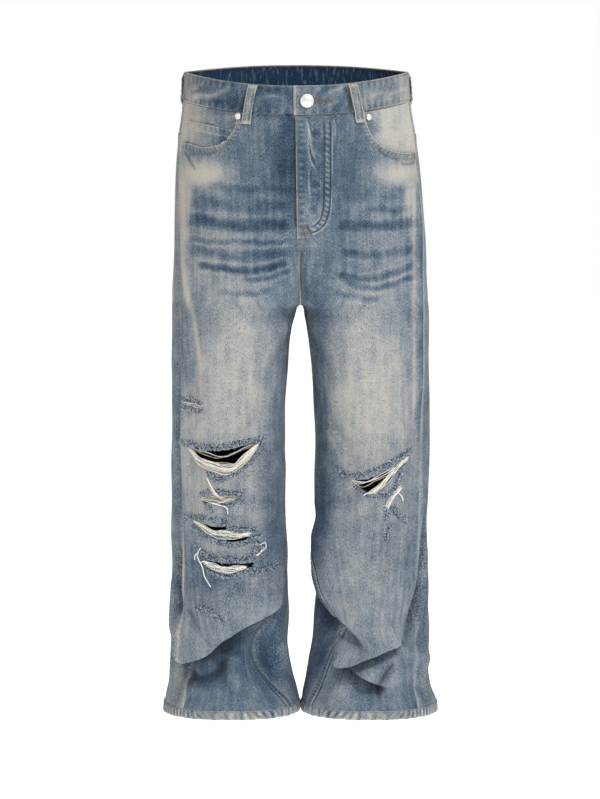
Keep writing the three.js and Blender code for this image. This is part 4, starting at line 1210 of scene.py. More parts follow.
def coin_place(s, t):
    (x0, z0), (x1, z1) = COIN["outer_top"], COIN["inner_top"]
    x = x0 + (x1 - x0) * s
    top = z0 + (z1 - z0) * s
    z = top + (COIN["bottom"] - top) * t
    below = top - z
    hemmed = falloff(below, 9.5, 8)
    rungs = np.sin(x / 1.15 + 1.3 * np.sin(x / 9))
    outer = smooth(-x, 120, 158)
    fade = 0.32 + 0.34 * outer + 0.12 * hemmed * rungs + 0.10 * hemmed + 0.06 * np.sin(x / 5 + 2)
    worn = 1.0 * falloff(below, 1.3) + 0.8 * falloff(below - 10.5, 1.4)
    raised = -DENIM - 0.7 + hemmed * (0.45 + 0.25 * rungs)
    return on_front(x, z, raised), x, z, dict(fade=fade, warm=0.2 + 0.65 * outer, worn=worn, fray=0 * z)


coin = sew("coin_pocket_sheet", 50, 36, coin_place, 1.0, faded_denim, denim_back, (-0.12, 0.05))
ride(coin, "faded_denim", "coin_pocket")

# ---------------------------------------------------------------- fly
# The left front's fly is turned back on itself along a worn edge, and a double row of stitches runs
# down it and turns in at its foot in a J. Its buttons push little bumps through the cloth.

FLY = {"top": WAIST_SEAM - FRONT_DIP - 0.8, "foot": -238, "width": 51, "turn": 46}
FLY_BUTTONS = [(22, -88), (20, -124), (21, -160), (18, -196)]
FLY_PULLS = [[(8, -66), (13, -88), (16, -110), (24, -132)], [(30, -205), (22, -214), (10, -224)]]


def fly_place(s, t):
    top, foot, width, turn = FLY["top"], FLY["foot"], FLY["width"], FLY["turn"]
    z = top + (foot - top) * (1 - (1 - t) ** 1.5)
    drop = np.maximum(0, foot + turn - z) / turn
    reach = np.sqrt(np.maximum(0, 1 - drop**2))
    x = -7.5 + 3.0 * t + s * (5 + (width - 5) * reach)
    from_edge = x + 7.5 - 3.0 * t
    from_outline = (1 - s) * (5 + (width - 5) * reach)
    flush = smooth(from_outline, 0, 5)
    fold = falloff(from_edge, 5)
    bumps = sum(blob(x, z, centre, (7.5, 7.5)) for centre in FLY_BUTTONS)
    rims = sum(falloff(np.hypot(x - a, z - b) - 8.5, 2.2) for a, b in FLY_BUTTONS)
    gather = falloff(from_edge - 8, 4) * np.sin(z / 1.5 + 2 * np.sin(z / 13))
    pull = sum(band(x, z, path, 1.6) for path in FLY_PULLS)
    raised = 0.35 + flush * 0.75 + 0.9 * fold + 1.4 * bumps + 0.35 * gather + 0.8 * pull
    fade, warm = wash(LEFT, 90 + 0 * x, np.maximum(x, 1), z)
    fade = fade + 0.02 + 0.13 * rims - 0.10 * bumps + 0.12 * gather + 0.3 * pull
    worn = 0.95 * falloff(from_edge, 2.0)
    return on_front(x, z, raised), x, z, dict(fade=fade, warm=warm * 0.8 + 0.12, worn=worn, fray=0 * z)


fly = sew("fly_sheet", 44, 110, fly_place, 1.0, faded_denim, denim_back, (0.02, 0.1))
ride(fly, "faded_denim", "fly")

# ---------------------------------------------------------------- back pockets
# Two five-sided patch pockets lie on the backs. Their mouths are hemmed, their edges are worn pale,
# and the cloth between has kept more of its dye.

BACK_POCKET = {"top": -124, "width": 142, "height": 138, "point": 22, "centre": 86, "draw_in": 9, "tilt": 5}


def back_pocket_outline(side, s, t):
    b = BACK_POCKET
    across = s * 2 - 1
    half = b["width"] / 2 - b["draw_in"] * t
    bottom = b["top"] - b["height"] - b["point"] * (1 - np.abs(across))
    top = b["top"] - b["tilt"] * across
    return side * (b["centre"] + across * half), top + (bottom - top) * t


def back_pocket_place(side):
    def place(s, t):
        x, z = back_pocket_outline(side, s, t)
        from_edge = np.minimum.reduce([s * 136, (1 - s) * 136, (1 - t) * 145])
        mouth = t * 145
        hemmed = np.maximum(falloff(mouth, 18, 8), falloff(from_edge, 8, 6))
        rungs = np.sin(x / 1.5 + z / 1.5)
        sag = np.sin(np.pi * s) * np.sin(np.pi * np.clip(t * 1.1, 0, 1))
        raised = 2.3 + 1.6 * sag + hemmed * 0.25 * rungs + 0.5 * np.sin(x / 14 + z / 21) * sag
        fade = 0.42 + 0.14 * sag + 0.14 * hemmed * rungs
        worn = 0.9 * falloff(from_edge, 2) + 0.9 * falloff(mouth, 2)
        values = dict(fade=fade, warm=0.2 + 0.25 * sag, worn=worn, fray=0 * z)
        return on_front(x, z, raised, "back"), x, z, values
    return place


for side, which in SIDES:
    pocket = sew(f"back_pocket_sheet_{which}", 60, 60, back_pocket_place(side), 1.3, worn_denim, denim_back,
                 (side * 0.086, -0.1))
    ride(pocket, "worn_denim", f"back_pocket_{which}")

# ---------------------------------------------------------------- waistband
# One folded strip goes round the waist. Its left end laps over its right end at the button. The
# outside is washed with the fronts, and the inside has kept its dark blue.

BAND_CLOTH, BAND_OUT, FULL_TURN = 3.0, 1.4, 360
LAP = {"over": -4, "under": 50}


def on_band(bearing, z, out):
    """A point of the band: bearing 0 is the centre front, 90 the wearer's left, 180 the back."""
    bearing, z, out = (np.array(v, float) for v in np.broadcast_arrays(bearing, z, out))
    turned = np.mod(bearing, FULL_TURN)
    left = turned < 180
    points = np.empty(bearing.shape + (3,))
    if left.any():
        points[left] = cloth(LEFT, 90 + turned[left], z[left], out[left])
    if (~left).any():
        points[~left] = cloth(RIGHT, 90 + FULL_TURN - turned[~left], z[~left], out[~left])
    return points


def bearing_at(x):
    return math.copysign(1, x) * (float(angle_at(np.array(abs(x)), -20.0)) - 90)


# Drag folds of the band: [path of (x, z), height, half width].
BAND_FOLDS = [
    ([(-160, -42), (-146, -33), (-128, -34), (-108, -27), (-92, -18)], 1.5, 3.4),
    ([(-164, -30), (-150, -22), (-138, -16)], 1.0, 3),
    ([(-152, -40), (-130, -43), (-108, -42)], -1.1, 4),
    ([(-66, -38), (-40, -34), (-14, -40)], 0.9, 3.2),
    ([(-58, -26), (-36, -27), (-16, -20)], -0.8, 3),
    ([(28, -42), (40, -30), (58, -22), (72, -18)], 1.1, 2.8),
    ([(30, -52), (44, -46), (60, -40)], 0.8, 3),
    ([(92, -40), (110, -32), (134, -30), (158, -20)], 1.2, 3.4),
    ([(96, -52), (120, -46), (150, -40)], -0.9, 3.2),
]


def band_place(s, t):
    first, last = bearing_at(LAP["over"]), FULL_TURN + bearing_at(LAP["under"])
    bearing = first + (last - first) * s
    tucked = smooth(bearing, FULL_TURN - 9, FULL_TURN - 3) * (BAND_CLOTH + 0.3)
    z = WAIST_SEAM * t
    seen = on_band(bearing, z, 0)
    x, height, front = seen[:, 0] * 1000, seen[:, 2] * 1000, seen[:, 1] < 0
    length = (bearing - first) * 2.75
    rolled = falloff(z, 2.2) + falloff(z - WAIST_SEAM, 1.8)
    by_edges = falloff(z + 6, 5) + falloff(z - WAIST_SEAM - 5, 5)
    puckers = by_edges * np.sin(length / 2.1 + 1.4 * np.sin(length / 17))
    folds = np.zeros(len(s))
    for path, rise, width in BAND_FOLDS:
        folds += rise * band(x, height, path, width) * front
    soft = 0.5 * np.sin(length / 23 + z / 11) + 0.3 * np.sin(length / 9 - z / 7)
    end = falloff(length, 2.2)
    raised = BAND_OUT - tucked - 1.1 * rolled + 0.28 * puckers + folds + 0.5 * soft * np.sin(np.pi * t)
    if_front = smooth(-seen[:, 1] * 1000, -30, 40)
    pale = smooth(np.abs(x), 96, 165)
    fade = 0.35 + if_front * (0.20 * pale + 0.05 * (x > 0)) - 0.06 * (1 - if_front)
    fade += 0.15 * folds + 0.06 * soft + 0.11 * puckers
    fade -= 0.12 * if_front * falloff(np.abs(x) - 46, 22)
    fade -= 0.16 * if_front * smooth(-x, 50, 90) * (1 - smooth(-x, 140, 165))
    fade += 0.16 * if_front * blob(x, height, (146, -46), (34, 9))
    fade += 0.20 * if_front * blob(x, height, (-150, -40), (26, 8))
    warm = 0.18 + 0.55 * pale * if_front
    top_edge = falloff(z, 1.5)
    worn = (0.9 * top_edge + 0.5 * falloff(z - WAIST_SEAM, 1.4) + 0.9 * end)
    return on_band(bearing, z, raised), length, z, dict(fade=fade, warm=warm, worn=worn, fray=0 * z)


band_sheet = sew("waistband_sheet", 560, 22, band_place, BAND_CLOTH - 0.4, seam_denim, band_lining, (0, 0))
ride(band_sheet, "seam_denim", "waistband")

# ---------------------------------------------------------------- belt loops
# Five straps stand off the band. Each is folded lengthways, stitched along both edges, and tacked
# at the band's top edge and below the waist seam.

LOOP = {"width": 13.5, "cloth": 2.2, "top": -1, "bottom": -58, "stand": 5.2}
LOOPS = {
    "front_right": (-21, 4.5),
    "front_left": (28.2, 5),
    "side_right": (-101, 0),
    "side_left": (101, 0),
    "back": (180, 0),
}


def loop_place(bearing, lean_over):
    def place(s, t):
        z = LOOP["top"] + (LOOP["bottom"] - LOOP["top"]) * t
        rise = smooth(t, 0, 0.16) * (1 - smooth(t, 0.70, 0.9))
        foot = 2.2 + (1.0 - 2.2) * smooth(t, 0.72, 0.8)
        edge = np.minimum(s, 1 - s) * LOOP["width"]
        out = foot + (LOOP["stand"] - foot) * rise + LOOP["cloth"] - 0.9 * falloff(edge, 1.3)
        out = out + 0.25 * np.sin(z / 1.3 + s * 6) * falloff(edge - 2.5, 1.5)
        before, middle, after = (on_band(bearing + turn + 0 * s, z, out) for turn in (-1.0, 0.0, 1.0))
        along = after - before
        along /= np.linalg.norm(along, axis=1)[:, None]
        aside = (s - 0.5) * LOOP["width"] + math.copysign(1, bearing) * lean_over * (t - 0.5) * 2
        tack = falloff(z - LOOP["bottom"] - 2.5, 2.2) + falloff(z - LOOP["top"] + 3, 2.4)
        fade = 0.44 + 0.10 * np.sin(z / 5 + s * 3) * 0.5 + 0.30 * tack - 0.10 * falloff(edge - 3.2, 1.2)
        worn = 1.0 * falloff(edge, 1.2) + 0.5 * falloff(1 - t, 0.03)
        return middle + along * aside[:, None] / 1000, s * LOOP["width"], z, dict(
            fade=fade, warm=0.35 + 0.4 * tack, worn=worn, fray=0 * z)
    return place


for which, (bearing, lean_over) in LOOPS.items():
    strap = sew(f"belt_loop_{which}", 16, 60, loop_place(bearing, lean_over), LOOP["cloth"] - 0.2,
                seam_denim, seam_denim, (0, 0))
    ride(strap, "seam_denim", f"loop_{which}")

# ---------------------------------------------------------------- button and rivets
# The waist button is a plain silver dome pressed on a shank, and a small silver rivet with a dimpled
# head holds the corner of each pocket mouth.

BUTTON = {"x": 9, "z": -41, "out": BAND_OUT + 0.3}
# Profiles of the turned pieces, [radius, height] from the cloth up.
BUTTON_PROFILE = [(0, -3), (3.2, -3), (3.2, 0.8), (8.8, 0.9), (9.9, 1.6), (10, 2.4), (9.5, 3.3),
                  (8.4, 3.9), (8.0, 3.8), (7.2, 3.9), (5.5, 4.5), (3.2, 4.9), (1.4, 5.0), (0, 5.05)]
RIVET_PROFILE = [(0, 0), (4.6, 0), (4.75, 0.4), (4.5, 0.9), (3.4, 1.5), (2.6, 1.5), (2.0, 1.1),
                 (1.6, 1.1), (1.3, 2.0), (0.8, 2.35), (0, 2.4)]
RIVETS = {"right": (-89.5, -63), "left": (98, -64.5)}


def turned(name, profile, x, z, out, material):
    """A turned piece, its axis along the cloth's normal at a point of the front."""
    bm = bmesh.new()
    ring_points = [bm.verts.new((r / 1000, 0, h / 1000)) for r, h in profile]
    edges = [bm.edges.new(pair) for pair in zip(ring_points[:-1], ring_points[1:])]
    bmesh.ops.spin(bm, geom=ring_points + edges, cent=(0, 0, 0), axis=(0, 0, 1), angle=2 * math.pi, steps=48,
                   use_merge=True)
    bmesh.ops.remove_doubles(bm, verts=bm.verts, dist=1e-6)
    bmesh.ops.recalc_face_normals(bm, faces=bm.faces)
    side = RIGHT if x < 0 else LEFT
    angle, level = seen_at(side, np.array([x], float), np.array([z], float))
    base = form(side, angle, level, 0)[0]
    normal = Vector(form(side, angle, level, 5)[0] - base).normalized()
    turn = Vector((0, 0, 1)).rotation_difference(normal).to_matrix().to_4x4()
    place = Matrix.Translation((Vector(base) + normal * out) / 1000)
    bmesh.ops.transform(bm, matrix=place @ turn, verts=bm.verts)
    mesh = into_mesh(name, bm)
    dress(mesh, material)
    return as_object(name, mesh)


def worn_metal():
    material, shader, start = blank_material("worn_silver", Metallic=1.0)
    place = start.node("ShaderNodeTexCoord", out=3)
    scuffs = start.node("ShaderNodeTexNoise", {0: place, "Scale": 900.0, "Detail": 3.0})
    patches = start.node("ShaderNodeTexNoise", {0: place, "Scale": 260.0, "Detail": 2.0})
    patches.mixed(colour(232, 231, 228), colour(250, 249, 246)).to(shader, "Base Color")
    (scuffs * 0.25 + 0.38).to(shader, "Roughness")
    bump = start.node("ShaderNodeBump", {"Strength": 0.12, "Distance": 0.0003, "Height": scuffs})
    bump.to(shader, "Normal")
    return material


silver = worn_metal()
waist_button = turned("waist_button", BUTTON_PROFILE, BUTTON["x"], BUTTON["z"], BUTTON["out"], silver)
ride(waist_button, "silver_metal", "button")
for which, (x, z) in RIVETS.items():
    head = turned(f"pocket_rivet_{which}", RIVET_PROFILE, x, z, 0.9, silver)
    ride(head, "silver_metal", f"rivet_{which}")

# ---------------------------------------------------------------- topstitching
# Every seam is stitched in thick cotton that has washed down to a grey-brown, close to the cloth.
# Each stitch is a short, fat dash that dips into the cloth at its ends.

STITCH, STITCH_GAP, THREAD = 2.7, 0.8, 0.34


def thread_mesh(name, runs, thickness, material, taper=True):
    """Thin tubes along runs of points, in metres."""
    curve = bpy.data.curves.new(name, "CURVE")
    curve.dimensions = "3D"
    curve.bevel_depth, curve.bevel_resolution = thickness / 1000, 0
    curve.use_fill_caps = True
    for run in runs:
        spline = curve.splines.new("POLY")
        spline.points.add(len(run) - 1)
        spline.points.foreach_set("co", np.hstack([run, np.ones((len(run), 1))]).astype(np.float32).ravel())
        if taper:
            width = np.ones(len(run))
            width[[0, -1]] = 0.45
            spline.points.foreach_set("radius", width.astype(np.float32))
    shape = bpy.data.objects.new(name + "_lines", curve)
    mesh = bpy.data.meshes.new_from_object(shape)
    bpy.data.objects.remove(shape)
    bpy.data.curves.remove(curve)
    mesh.name = name
    dress(mesh, material)
    return as_object(name, mesh)


def laid(runs, face="front"):
    """Runs of (x, z, out) in the front view, put on the draped cloth."""
    flat = np.vstack(runs)
    placed = on_front(flat[:, 0], flat[:, 1], flat[:, 2], face)
    return np.split(placed, np.cumsum([len(run) for run in runs])[:-1])


def even(points, step):
    """The same run of points, a step apart. Metres."""
    length = np.concatenate([[0], np.cumsum(np.linalg.norm(np.diff(points, axis=0), axis=1))])
    at = np.arange(0, length[-1], step)
    return np.stack([np.interp(at, length, points[:, i]) for i in range(3)], -1)


def dashes(points):
    """Cuts a run of points on the cloth's face into stitches."""
    pitch = (STITCH + STITCH_GAP) / 1000
    fine = even(points, pitch / 10)
    dash = int(10 * STITCH / (STITCH + STITCH_GAP))
    starts = range(0, len(fine) - dash, 10)
    return [fine[[i, i + dash // 4, i + 3 * dash // 4, i + dash]] for i in starts]


def along_front(path, out, face="front"):
    fine = rounded(path, 24)
    return on_front(fine[:, 0], fine[:, 1], out, face)


def seam_row(side, face, share, z, out):
    """Stitches down a panel, at that share of its width."""
    return dashes(cloth(side, panel_angle(side, face, share + 0 * z, z), z, out))


def offset_path(path, distance):
    """A path moved sideways in the front view."""
    fine = rounded(path, 24)
    way = np.gradient(fine, axis=0)
    way /= np.linalg.norm(way, axis=1)[:, None]
    return fine + np.stack([-way[:, 1], way[:, 0]], -1) * distance


rows_of = {"front": [], "back": [], "legs": [], "waist": []}
for side in (RIGHT, LEFT):
    mouth = SCOOP[side]
    mouth = mouth[(mouth[:, 1] < -62) & (np.abs(mouth[:, 0]) < 170)]
    for inset in (2.2, 9.0):
        line = offset_path(mouth, -side * inset)
        rows_of["front"] += dashes(on_front(line[:, 0], line[:, 1], 1.3))
    # the felled inseam and the hem
    z = np.linspace(-352, HEM_TOP + 2, 400)
    for inset in (1.6, SEAM_WIDTH - 1.2):
        rows_of["legs"] += seam_row(side, "front", inset / PANEL_WIDTH["front"], z, 1.35)
    angle = np.linspace(0, 360, 500)
    rows_of["legs"] += dashes(cloth(side, angle, HEM_TOP - 1.8 + 0 * angle, 1.25))
    # the side seam is topstitched from the waist to the hip
    z = np.linspace(WAIST_SEAM - 3, -150, 80)
    rows_of["back"] += seam_row(side, "back", 2.5 / PANEL_WIDTH["back"], z, 0.8)
    # yoke seam, seat seam and back pockets
    for below in (1.8, 8.2):
        x = np.linspace(2, 172, 60)
        rows_of["back"] += dashes(on_front(side * x, yoke_line(side, side * x) - below, 1.4, "back"))
    for inset in (2.0, 8.2) if side == RIGHT else ():
        z = np.linspace(-55, -332, 120)
        rows_of["back"] += seam_row(side, "back", 1 - inset / PANEL_WIDTH["back"], z, 1.4)
    for inset in (2.2, 8.6):
        s0, t0 = inset / 138, inset / 145
        walk = [(s0, 0.0), (s0, 1 - t0), (0.5, 1 - t0), (1 - s0, 1 - t0), (1 - s0, 0.0)]
        legs_of_walk = list(zip(walk[:-1], walk[1:]))
        s, t = (np.concatenate([np.linspace(a[i], b[i], 40) for a, b in legs_of_walk]) for i in (0, 1))
        x, z = back_pocket_outline(side, s, t)
        sag = np.sin(np.pi * s) * np.sin(np.pi * np.clip(t * 1.1, 0, 1))
        rows_of["back"] += dashes(on_front(x, z, 2.6 + 1.6 * sag, "back"))
    for down in (0.018, 0.115):
        s = np.linspace(0.02, 0.98, 60)
        x, z = back_pocket_outline(side, s, down + 0 * s)
        sag = np.sin(np.pi * s) * math.sin(math.pi * down * 1.1)
        rows_of["back"] += dashes(on_front(x, z, 2.7 + 1.6 * sag, "back"))
# the coin pocket's mouth
for below in (1.6, 9.4):
    mouth = [(-160, -71.5 - below), (-130, -77.5 - below), (-97, -83.8 - below)]
    rows_of["front"] += dashes(along_front(mouth, -0.3))
# the fly's edge and its J
z = np.linspace(FLY["top"] - 2, FLY["foot"] + 4, 90)
rows_of["front"] += dashes(on_front(-5.2 + 3 * (FLY["top"] - z) / 176, z, 2.3))
for inset in (0, 7):
    width = 41.5 - inset
    path = [(width, -64), (width, -120), (width, -188), (width - 3, -208), (width - 11, -222 + inset * 0.6),
            (8, -231 + inset)]
    rows_of["front"] += dashes(along_front(path, 1.45))
# the centre seam, from the fly's foot to the crotch
z = np.linspace(-244, -336, 90)
rows_of["front"] += seam_row(RIGHT, "front", 3 / PANEL_WIDTH["front"], z, 0.5)
# two rows along each edge of the band
first, last = bearing_at(LAP["over"]), FULL_TURN + bearing_at(LAP["under"]) - 22
bearing = np.linspace(first + 0.8, last, 900)
for z in (-2.6, WAIST_SEAM + 2.6):
    rows_of["waist"] += dashes(on_band(bearing, z, BAND_OUT + 0.15))
z = np.linspace(-2.6, WAIST_SEAM + 2.6, 40)
rows_of["waist"] += dashes(on_band(first + 0.9 + 0 * z, z, BAND_OUT + 0.2))
for bearing, lean_over in LOOPS.values():
    for s in (0.2, 0.8):
        t = np.linspace(0.04, 0.98, 60)
        rows_of["waist"] += dashes(loop_place(bearing, lean_over)(s + 0 * t, t)[0])

thread_tan = plain_cloth("thread_tan", colour(112, 104, 92), colour(168, 156, 136), 0.8)
thread_dark = plain_cloth("thread_dark", colour(74, 74, 72), colour(132, 124, 112), 0.8)
for where, runs in rows_of.items():
    stitches = thread_mesh(f"topstitch_{where}", runs, THREAD, thread_tan if where == "back" else thread_dark)
    ride(stitches, "seam_denim")

# ---------------------------------------------------------------- bar tacks and keyhole
# Short, dense bars of zigzag stitches hold the foot of the fly, the foot of the centre seam and the
# corners of the pockets. The buttonhole is bound in tan thread round its slit.


def bar(start, end, half, out, count, face="front"):
    """Zigzag stitches across a short line in the front view."""
    t = np.linspace(0, 1, count)
    line = np.array(start) + (np.array(end) - np.array(start)) * t[:, None]
    way = np.array(end, float) - np.array(start)
    side_way = np.array([-way[1], way[0]]) / np.linalg.norm(way)
    runs = []
    for point in line:
        across = np.linspace(-1, 1, 5)
        x, z = (point[j] + side_way[j] * half * across + 0.25 * way[j] / count * across for j in (0, 1))
        runs.append(np.stack([x, z, out + 0.45 * (1 - across**2)], -1))
    return laid(runs, face)


tacks = bar((-3.6, -222), (-4.2, -246), 1.5, 1.3, 26) + bar((3, -226), (14, -229), 1.3, 1.6, 14)
tacks += bar((-5, -335), (-5, -343), 1.4, 1.0, 10)
for side in (RIGHT, LEFT):
    end = SCOOP[side][np.abs(SCOOP[side][:, 0]) < 174][-1]
    tacks += bar((side * 166, end[1] - 1), (side * 166, end[1] - 11), 1.1, 1.5, 12)
    for edge in (0.02, 0.98):
        s, t = np.array([edge, edge]), np.array([0.01, 0.09])
        x, z = back_pocket_outline(side, s, t)
        tacks += bar((x[0], z[0]), (x[1], z[1]), 1.3, 3.2, 12, "back")
ride(thread_mesh("bar_tacks", tacks, 0.3, thread_tan), "seam_denim")

keyhole = []
slit_start, slit_end = BUTTON["x"] + 8, BUTTON["x"] + 29
for t in np.linspace(0, 1, 46):
    x = slit_start + (slit_end - slit_start) * t
    half = 3.5 * (1 - t) ** 0.9 + 0.5
    for way in (-1, 1):
        across = np.linspace(0.3, 1, 4) * half * way
        out = BAND_OUT + 0.15 + 0.35 * np.sin(np.linspace(0.3, math.pi, 4))
        height = BUTTON["z"] + across - 0.02 * (x - slit_start)
        keyhole.append(np.stack([x + 0.3 * np.linspace(0, 1, 4), height, out], -1))
keyhole = laid(keyhole)
bar_ends = (slit_end - 0.5, BUTTON["z"] - 0.5), (slit_end + 2.5, BUTTON["z"] - 0.6)
keyhole += bar(*bar_ends, 1.7, BAND_OUT + 0.3, 7)
thread_orange = plain_cloth("thread_orange", colour(104, 86, 66), colour(150, 128, 100), 0.75)
ride(thread_mesh("buttonhole_thread", keyhole, 0.3, thread_orange), "seam_denim")

# ---------------------------------------------------------------- torn threads
# Where the cloth is torn the white weft threads hang across the hole in a sagging bundle, and the blue
# warp ends stand along its lips as fluff. A few long threads hang free.

rng = np.random.default_rng(7)

WEFT_POINTS = 34  # of each thread

# Bundles of weft: upper path, lower path, number of threads.
WEFTS = {
    RIGHT: [
        ([(-163, -546), (-150, -558), (-137, -563), (-113, -568), (-97, -570), (-90, -562),
          (-82, -553), (-72, -545), (-62, -540)],
         [(-164, -548), (-152, -568), (-140, -575), (-125, -580), (-113, -584), (-101, -582),
          (-87, -574), (-76, -564), (-62, -543)], 19),
        ([(-160, -546), (-147, -551), (-134, -554), (-123, -557), (-110, -556), (-98, -552),
          (-86, -547), (-66, -539)],
         [(-160, -547), (-147, -553), (-134, -556), (-123, -559), (-110, -558), (-98, -554),
          (-86, -549), (-66, -541)], 4),
        ([(-146, -619), (-125, -618), (-110, -619), (-93, -618)],
         [(-146, -623), (-125, -628), (-110, -627), (-93, -623)], 8),
        ([(-134, -604), (-130, -612), (-118, -620), (-108, -624)],
         [(-128, -606), (-124, -614), (-114, -622), (-104, -624)], 8),
        ([(-158, -656), (-142, -662), (-127, -668), (-113, -669), (-95, -673), (-72, -671)],
         [(-158, -659), (-144, -669), (-129, -677), (-113, -680), (-95, -681), (-72, -677)], 16),
        ([(-144, -716), (-129, -720), (-114, -723), (-99, -723), (-80, -722)],
         [(-144, -719), (-131, -728), (-114, -733), (-99, -731), (-78, -725)], 13),
        ([(-169, -480), (-158, -480), (-144, -483)], [(-169, -482), (-158, -484), (-144, -487)], 8),
    ],
    LEFT: [
        ([(99, -611), (112, -603), (121, -593), (130, -583), (142, -571), (158, -558)],
         [(106, -614), (118, -607), (127, -597), (135, -587), (146, -575), (160, -561)], 11),
        ([(74, -592), (84, -595), (97, -594), (108, -589), (128, -580), (140, -572)],
         [(74, -594), (84, -598), (97, -596), (108, -591), (128, -582), (140, -574)], 3),
        ([(76, -596), (88, -602), (98, -600), (110, -594), (128, -585)],
         [(76, -597), (88, -603), (98, -601), (110, -595), (128, -586)], 2),
        ([(147, -601), (138, -611), (130, -622), (124, -634)], [(149, -606), (142, -614), (134, -625),
                                                                (127, -640)], 9),
    ],
}


def even_line(path, steps, step):
    """A path in the front view as points that are a step apart."""
    fine = rounded(path, steps)
    return even(np.column_stack([fine, np.zeros(len(fine))]), step)[:, :2]


def resampled(path, count):
    fine = even_line(path, 8, 1.0)
    t = np.linspace(0, 1, count)
    return np.stack([np.interp(t, np.linspace(0, 1, len(fine)), fine[:, i]) for i in (0, 1)], -1)


def weft_runs(upper, lower, count):
    """Threads of a bundle that hangs between its upper and its lower path."""
    upper, lower = resampled(upper, WEFT_POINTS), resampled(lower, WEFT_POINTS)
    t = np.linspace(0, 1, WEFT_POINTS)
    runs = []
    for i in range(count):
        share = (i + rng.uniform(-0.4, 0.4)) / max(count - 1, 1)
        wave = rng.uniform(0.7, 2.2) * np.sin(t * rng.uniform(5, 14) + rng.uniform(0, 6)) * np.sin(np.pi * t)
        line = upper + (lower - upper) * share + np.stack([0 * t, wave], -1)
        first, last = int(rng.integers(0, 3)), WEFT_POINTS - int(rng.integers(0, 3))
        out = 0.9 + rng.uniform(-0.5, 0.9) + 1.2 * np.sin(np.pi * t) * rng.uniform(0.2, 1)
        runs.append(np.column_stack([line, out])[first:last])
    return laid(runs)


def fluff_runs(path, half, density, length, lift):
    """Short curled hairs along a path: most hang down, and some stand out."""
    fine = even_line(path, 10, 0.25)
    count = int(len(fine) * 0.25 * density)
    runs = []
    for _ in range(count):
        root = fine[rng.integers(0, len(fine))] + (rng.normal(0, 0.8), rng.uniform(-half, half))
        heading = math.radians(rng.normal(-90, 38))
        bend = rng.normal(0, 0.5)
        reach = rng.uniform(0.5, 1.2) * length
        steps = np.linspace(0, 1, 5)
        turn = heading + bend * steps * 2
        x = root[0] + np.cumsum(np.cos(turn)) * reach / 5
        z = root[1] + np.cumsum(np.sin(turn)) * reach / 5
        out = lift + rng.uniform(0.2, 1.8) * np.sin(np.pi * (0.15 + 0.85 * steps))
        runs.append(np.stack([x, z, out], -1))
    return laid(runs)


def cotton(name, dark, light):
    material, shader, start = blank_material(name, Roughness=0.9, Specular_IOR_Level=0.2)
    place = start.node("ShaderNodeTexCoord", out=3)
    spots_here = start.node("ShaderNodeTexNoise", {0: place, "Scale": 520.0, "Detail": 2.0})
    ((spots_here - 0.5) * 3.2 + 0.5).clamped().mixed(dark, light).to(shader, "Base Color")
    return material


# weft_shadow is a darkened copy of the weft that paints the shade between the threads
WEFT_TONES = [
    cotton("weft_shadow", colour(70, 62, 54), colour(140, 126, 106)),
    cotton("weft_cream", colour(196, 180, 152), colour(240, 230, 208)),
    cotton("weft_white", colour(236, 234, 228), colour(255, 254, 250)),
]
warp_blue = cotton("warp_blue", colour(34, 56, 84), colour(96, 122, 148))
warp_pale = cotton("warp_pale", colour(158, 176, 190), colour(232, 236, 236))
for side, which in SIDES:
    strands = [run for upper, lower, count in WEFTS[side] for run in weft_runs(upper, lower, count)]
    tones = rng.choice(3, len(strands), p=[0.14, 0.3, 0.56])
    for tone, cotton_of_it in enumerate(WEFT_TONES):
        own = [run for run, its in zip(strands, tones) if its == tone]
        bundle = thread_mesh(f"{cotton_of_it.name}_{which}", own, 0.32 + 0.05 * tone, cotton_of_it, False)
        ride(bundle, "faded_denim")
    blue, pale = [], []
    for path, half in FRINGES[side]:
        blue += fluff_runs(path, half * 0.8, 5.0, 3.8, 0.8)
        pale += fluff_runs(path, half * 0.9, 3.0, 4.2, 1.2)
    ride(thread_mesh(f"warp_fluff_blue_{which}", blue, 0.24, warp_blue), "faded_denim")
    ride(thread_mesh(f"warp_fluff_pale_{which}", pale, 0.22, warp_pale), "faded_denim")

# Loose threads that have pulled free, as places in the front view.
LOOSE = [
    [(-147, -697), (-152, -706), (-150, -714), (-144, -726), (-141, -740), (-132, -754)],
    [(-150, -704), (-155, -709), (-156, -716)],
    [(-148, -720), (-142, -717), (-136, -719)],
    [(-137, -590), (-132, -601), (-127, -609), (-122, -617)],
    [(-136, -592), (-130, -603), (-126, -612)],
    [(-130, -628), (-114, -632), (-108, -636), (-107, -644)],
    [(-62, -693), (-55, -690), (-53, -697), (-59, -703), (-64, -709)],
    [(-58, -700), (-62, -706), (-66, -708)],
    [(-181, -535), (-177, -541), (-180, -547)],
    [(142, -612), (148, -619), (150, -626)],
    [(92, -617), (97, -613), (104, -612)],
]
loose = []
for path in LOOSE:
    fine = rounded(path, 8)
    for _ in range(2):
        sway = rng.normal(0, 0.35, 2)
        t = np.linspace(0, 1, len(fine))
        loose.append(np.column_stack([fine + sway * t[:, None], 1.6 + 1.2 * np.sin(np.pi * t)]))
loose = laid(loose)
loose_cotton = cotton("loose_cotton", colour(236, 234, 228), colour(255, 254, 250))
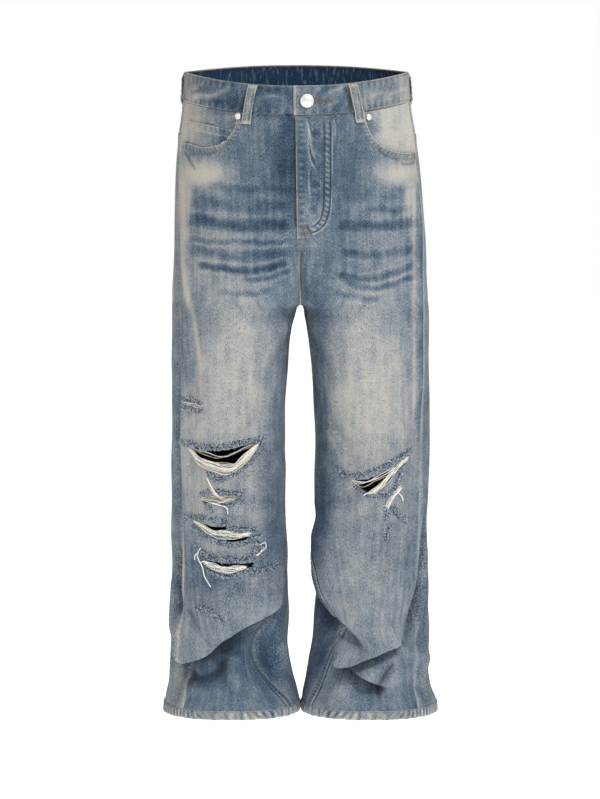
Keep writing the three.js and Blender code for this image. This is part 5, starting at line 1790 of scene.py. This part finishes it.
ride(thread_mesh("loose_threads", loose, 0.66, loose_cotton, False), "faded_denim")

# ---------------------------------------------------------------- studio
# A pale, faintly glowing floor under soft light from above the camera.

BELOW = 0.22  # the pair hangs that far over the paper, in metres
bm = bmesh.new()
bmesh.ops.create_grid(bm, x_segments=1, y_segments=1, size=9)
bmesh.ops.translate(bm, verts=bm.verts, vec=(0, 0, HEM_BOTTOM / 1000 - BELOW))
floor = as_object("floor", into_mesh("floor", bm))
paper, _, _ = blank_material("paper", Base_Color=(0.9, 0.9, 0.9, 1), Roughness=1.0,
                             Emission_Color=(1, 1, 1, 1), Emission_Strength=0.85)
floor.data.materials.append(paper)

AMBIENT = 0.33
world = bpy.data.worlds.new("studio")
bpy.context.scene.world = world
world.use_nodes = True
world.node_tree.nodes["Background"].inputs["Color"].default_value = (1, 1, 1, 1)
light = Socket(world.node_tree, None)
seen_directly = light.node("ShaderNodeLightPath")
strength = seen_directly * (1 - AMBIENT) + AMBIENT
strength.to(world.node_tree.nodes["Background"], "Strength")


def lamp(name, place, target, size, power):
    data = bpy.data.lights.new(name, "AREA")
    data.shape, data.size, data.energy = "DISK", size, power
    made = bpy.data.objects.new(name, data)
    made.location = place
    made.rotation_euler = (Vector(target) - Vector(place)).to_track_quat("-Z", "Y").to_euler()
    bpy.context.scene.collection.objects.link(made)


lamp("key", (1.9, -3.1, 3.5), (0, 0, -0.55), 0.8, 163)
lamp("fill", (-4.4, -5.2, 0.8), (0, 0, -0.5), 2.0, 24)
bpy.context.scene.view_settings.view_transform = "Standard"

camera = bpy.data.objects.new("camera", bpy.data.cameras.new("camera"))
bpy.context.scene.collection.objects.link(camera)
bpy.context.scene.camera = camera
DISTANCE, DROP, ASIDE = 3.5, 0.487, -0.0007  # metres from the waist to the camera, and down to its aim
LENS, SENSOR = 106.135, 36
camera.location = (ASIDE, -DISTANCE, 0)
camera.rotation_euler = (math.pi / 2 - math.atan2(DROP, DISTANCE), 0, 0)
camera.data.sensor_width = SENSOR
camera.data.lens = LENS
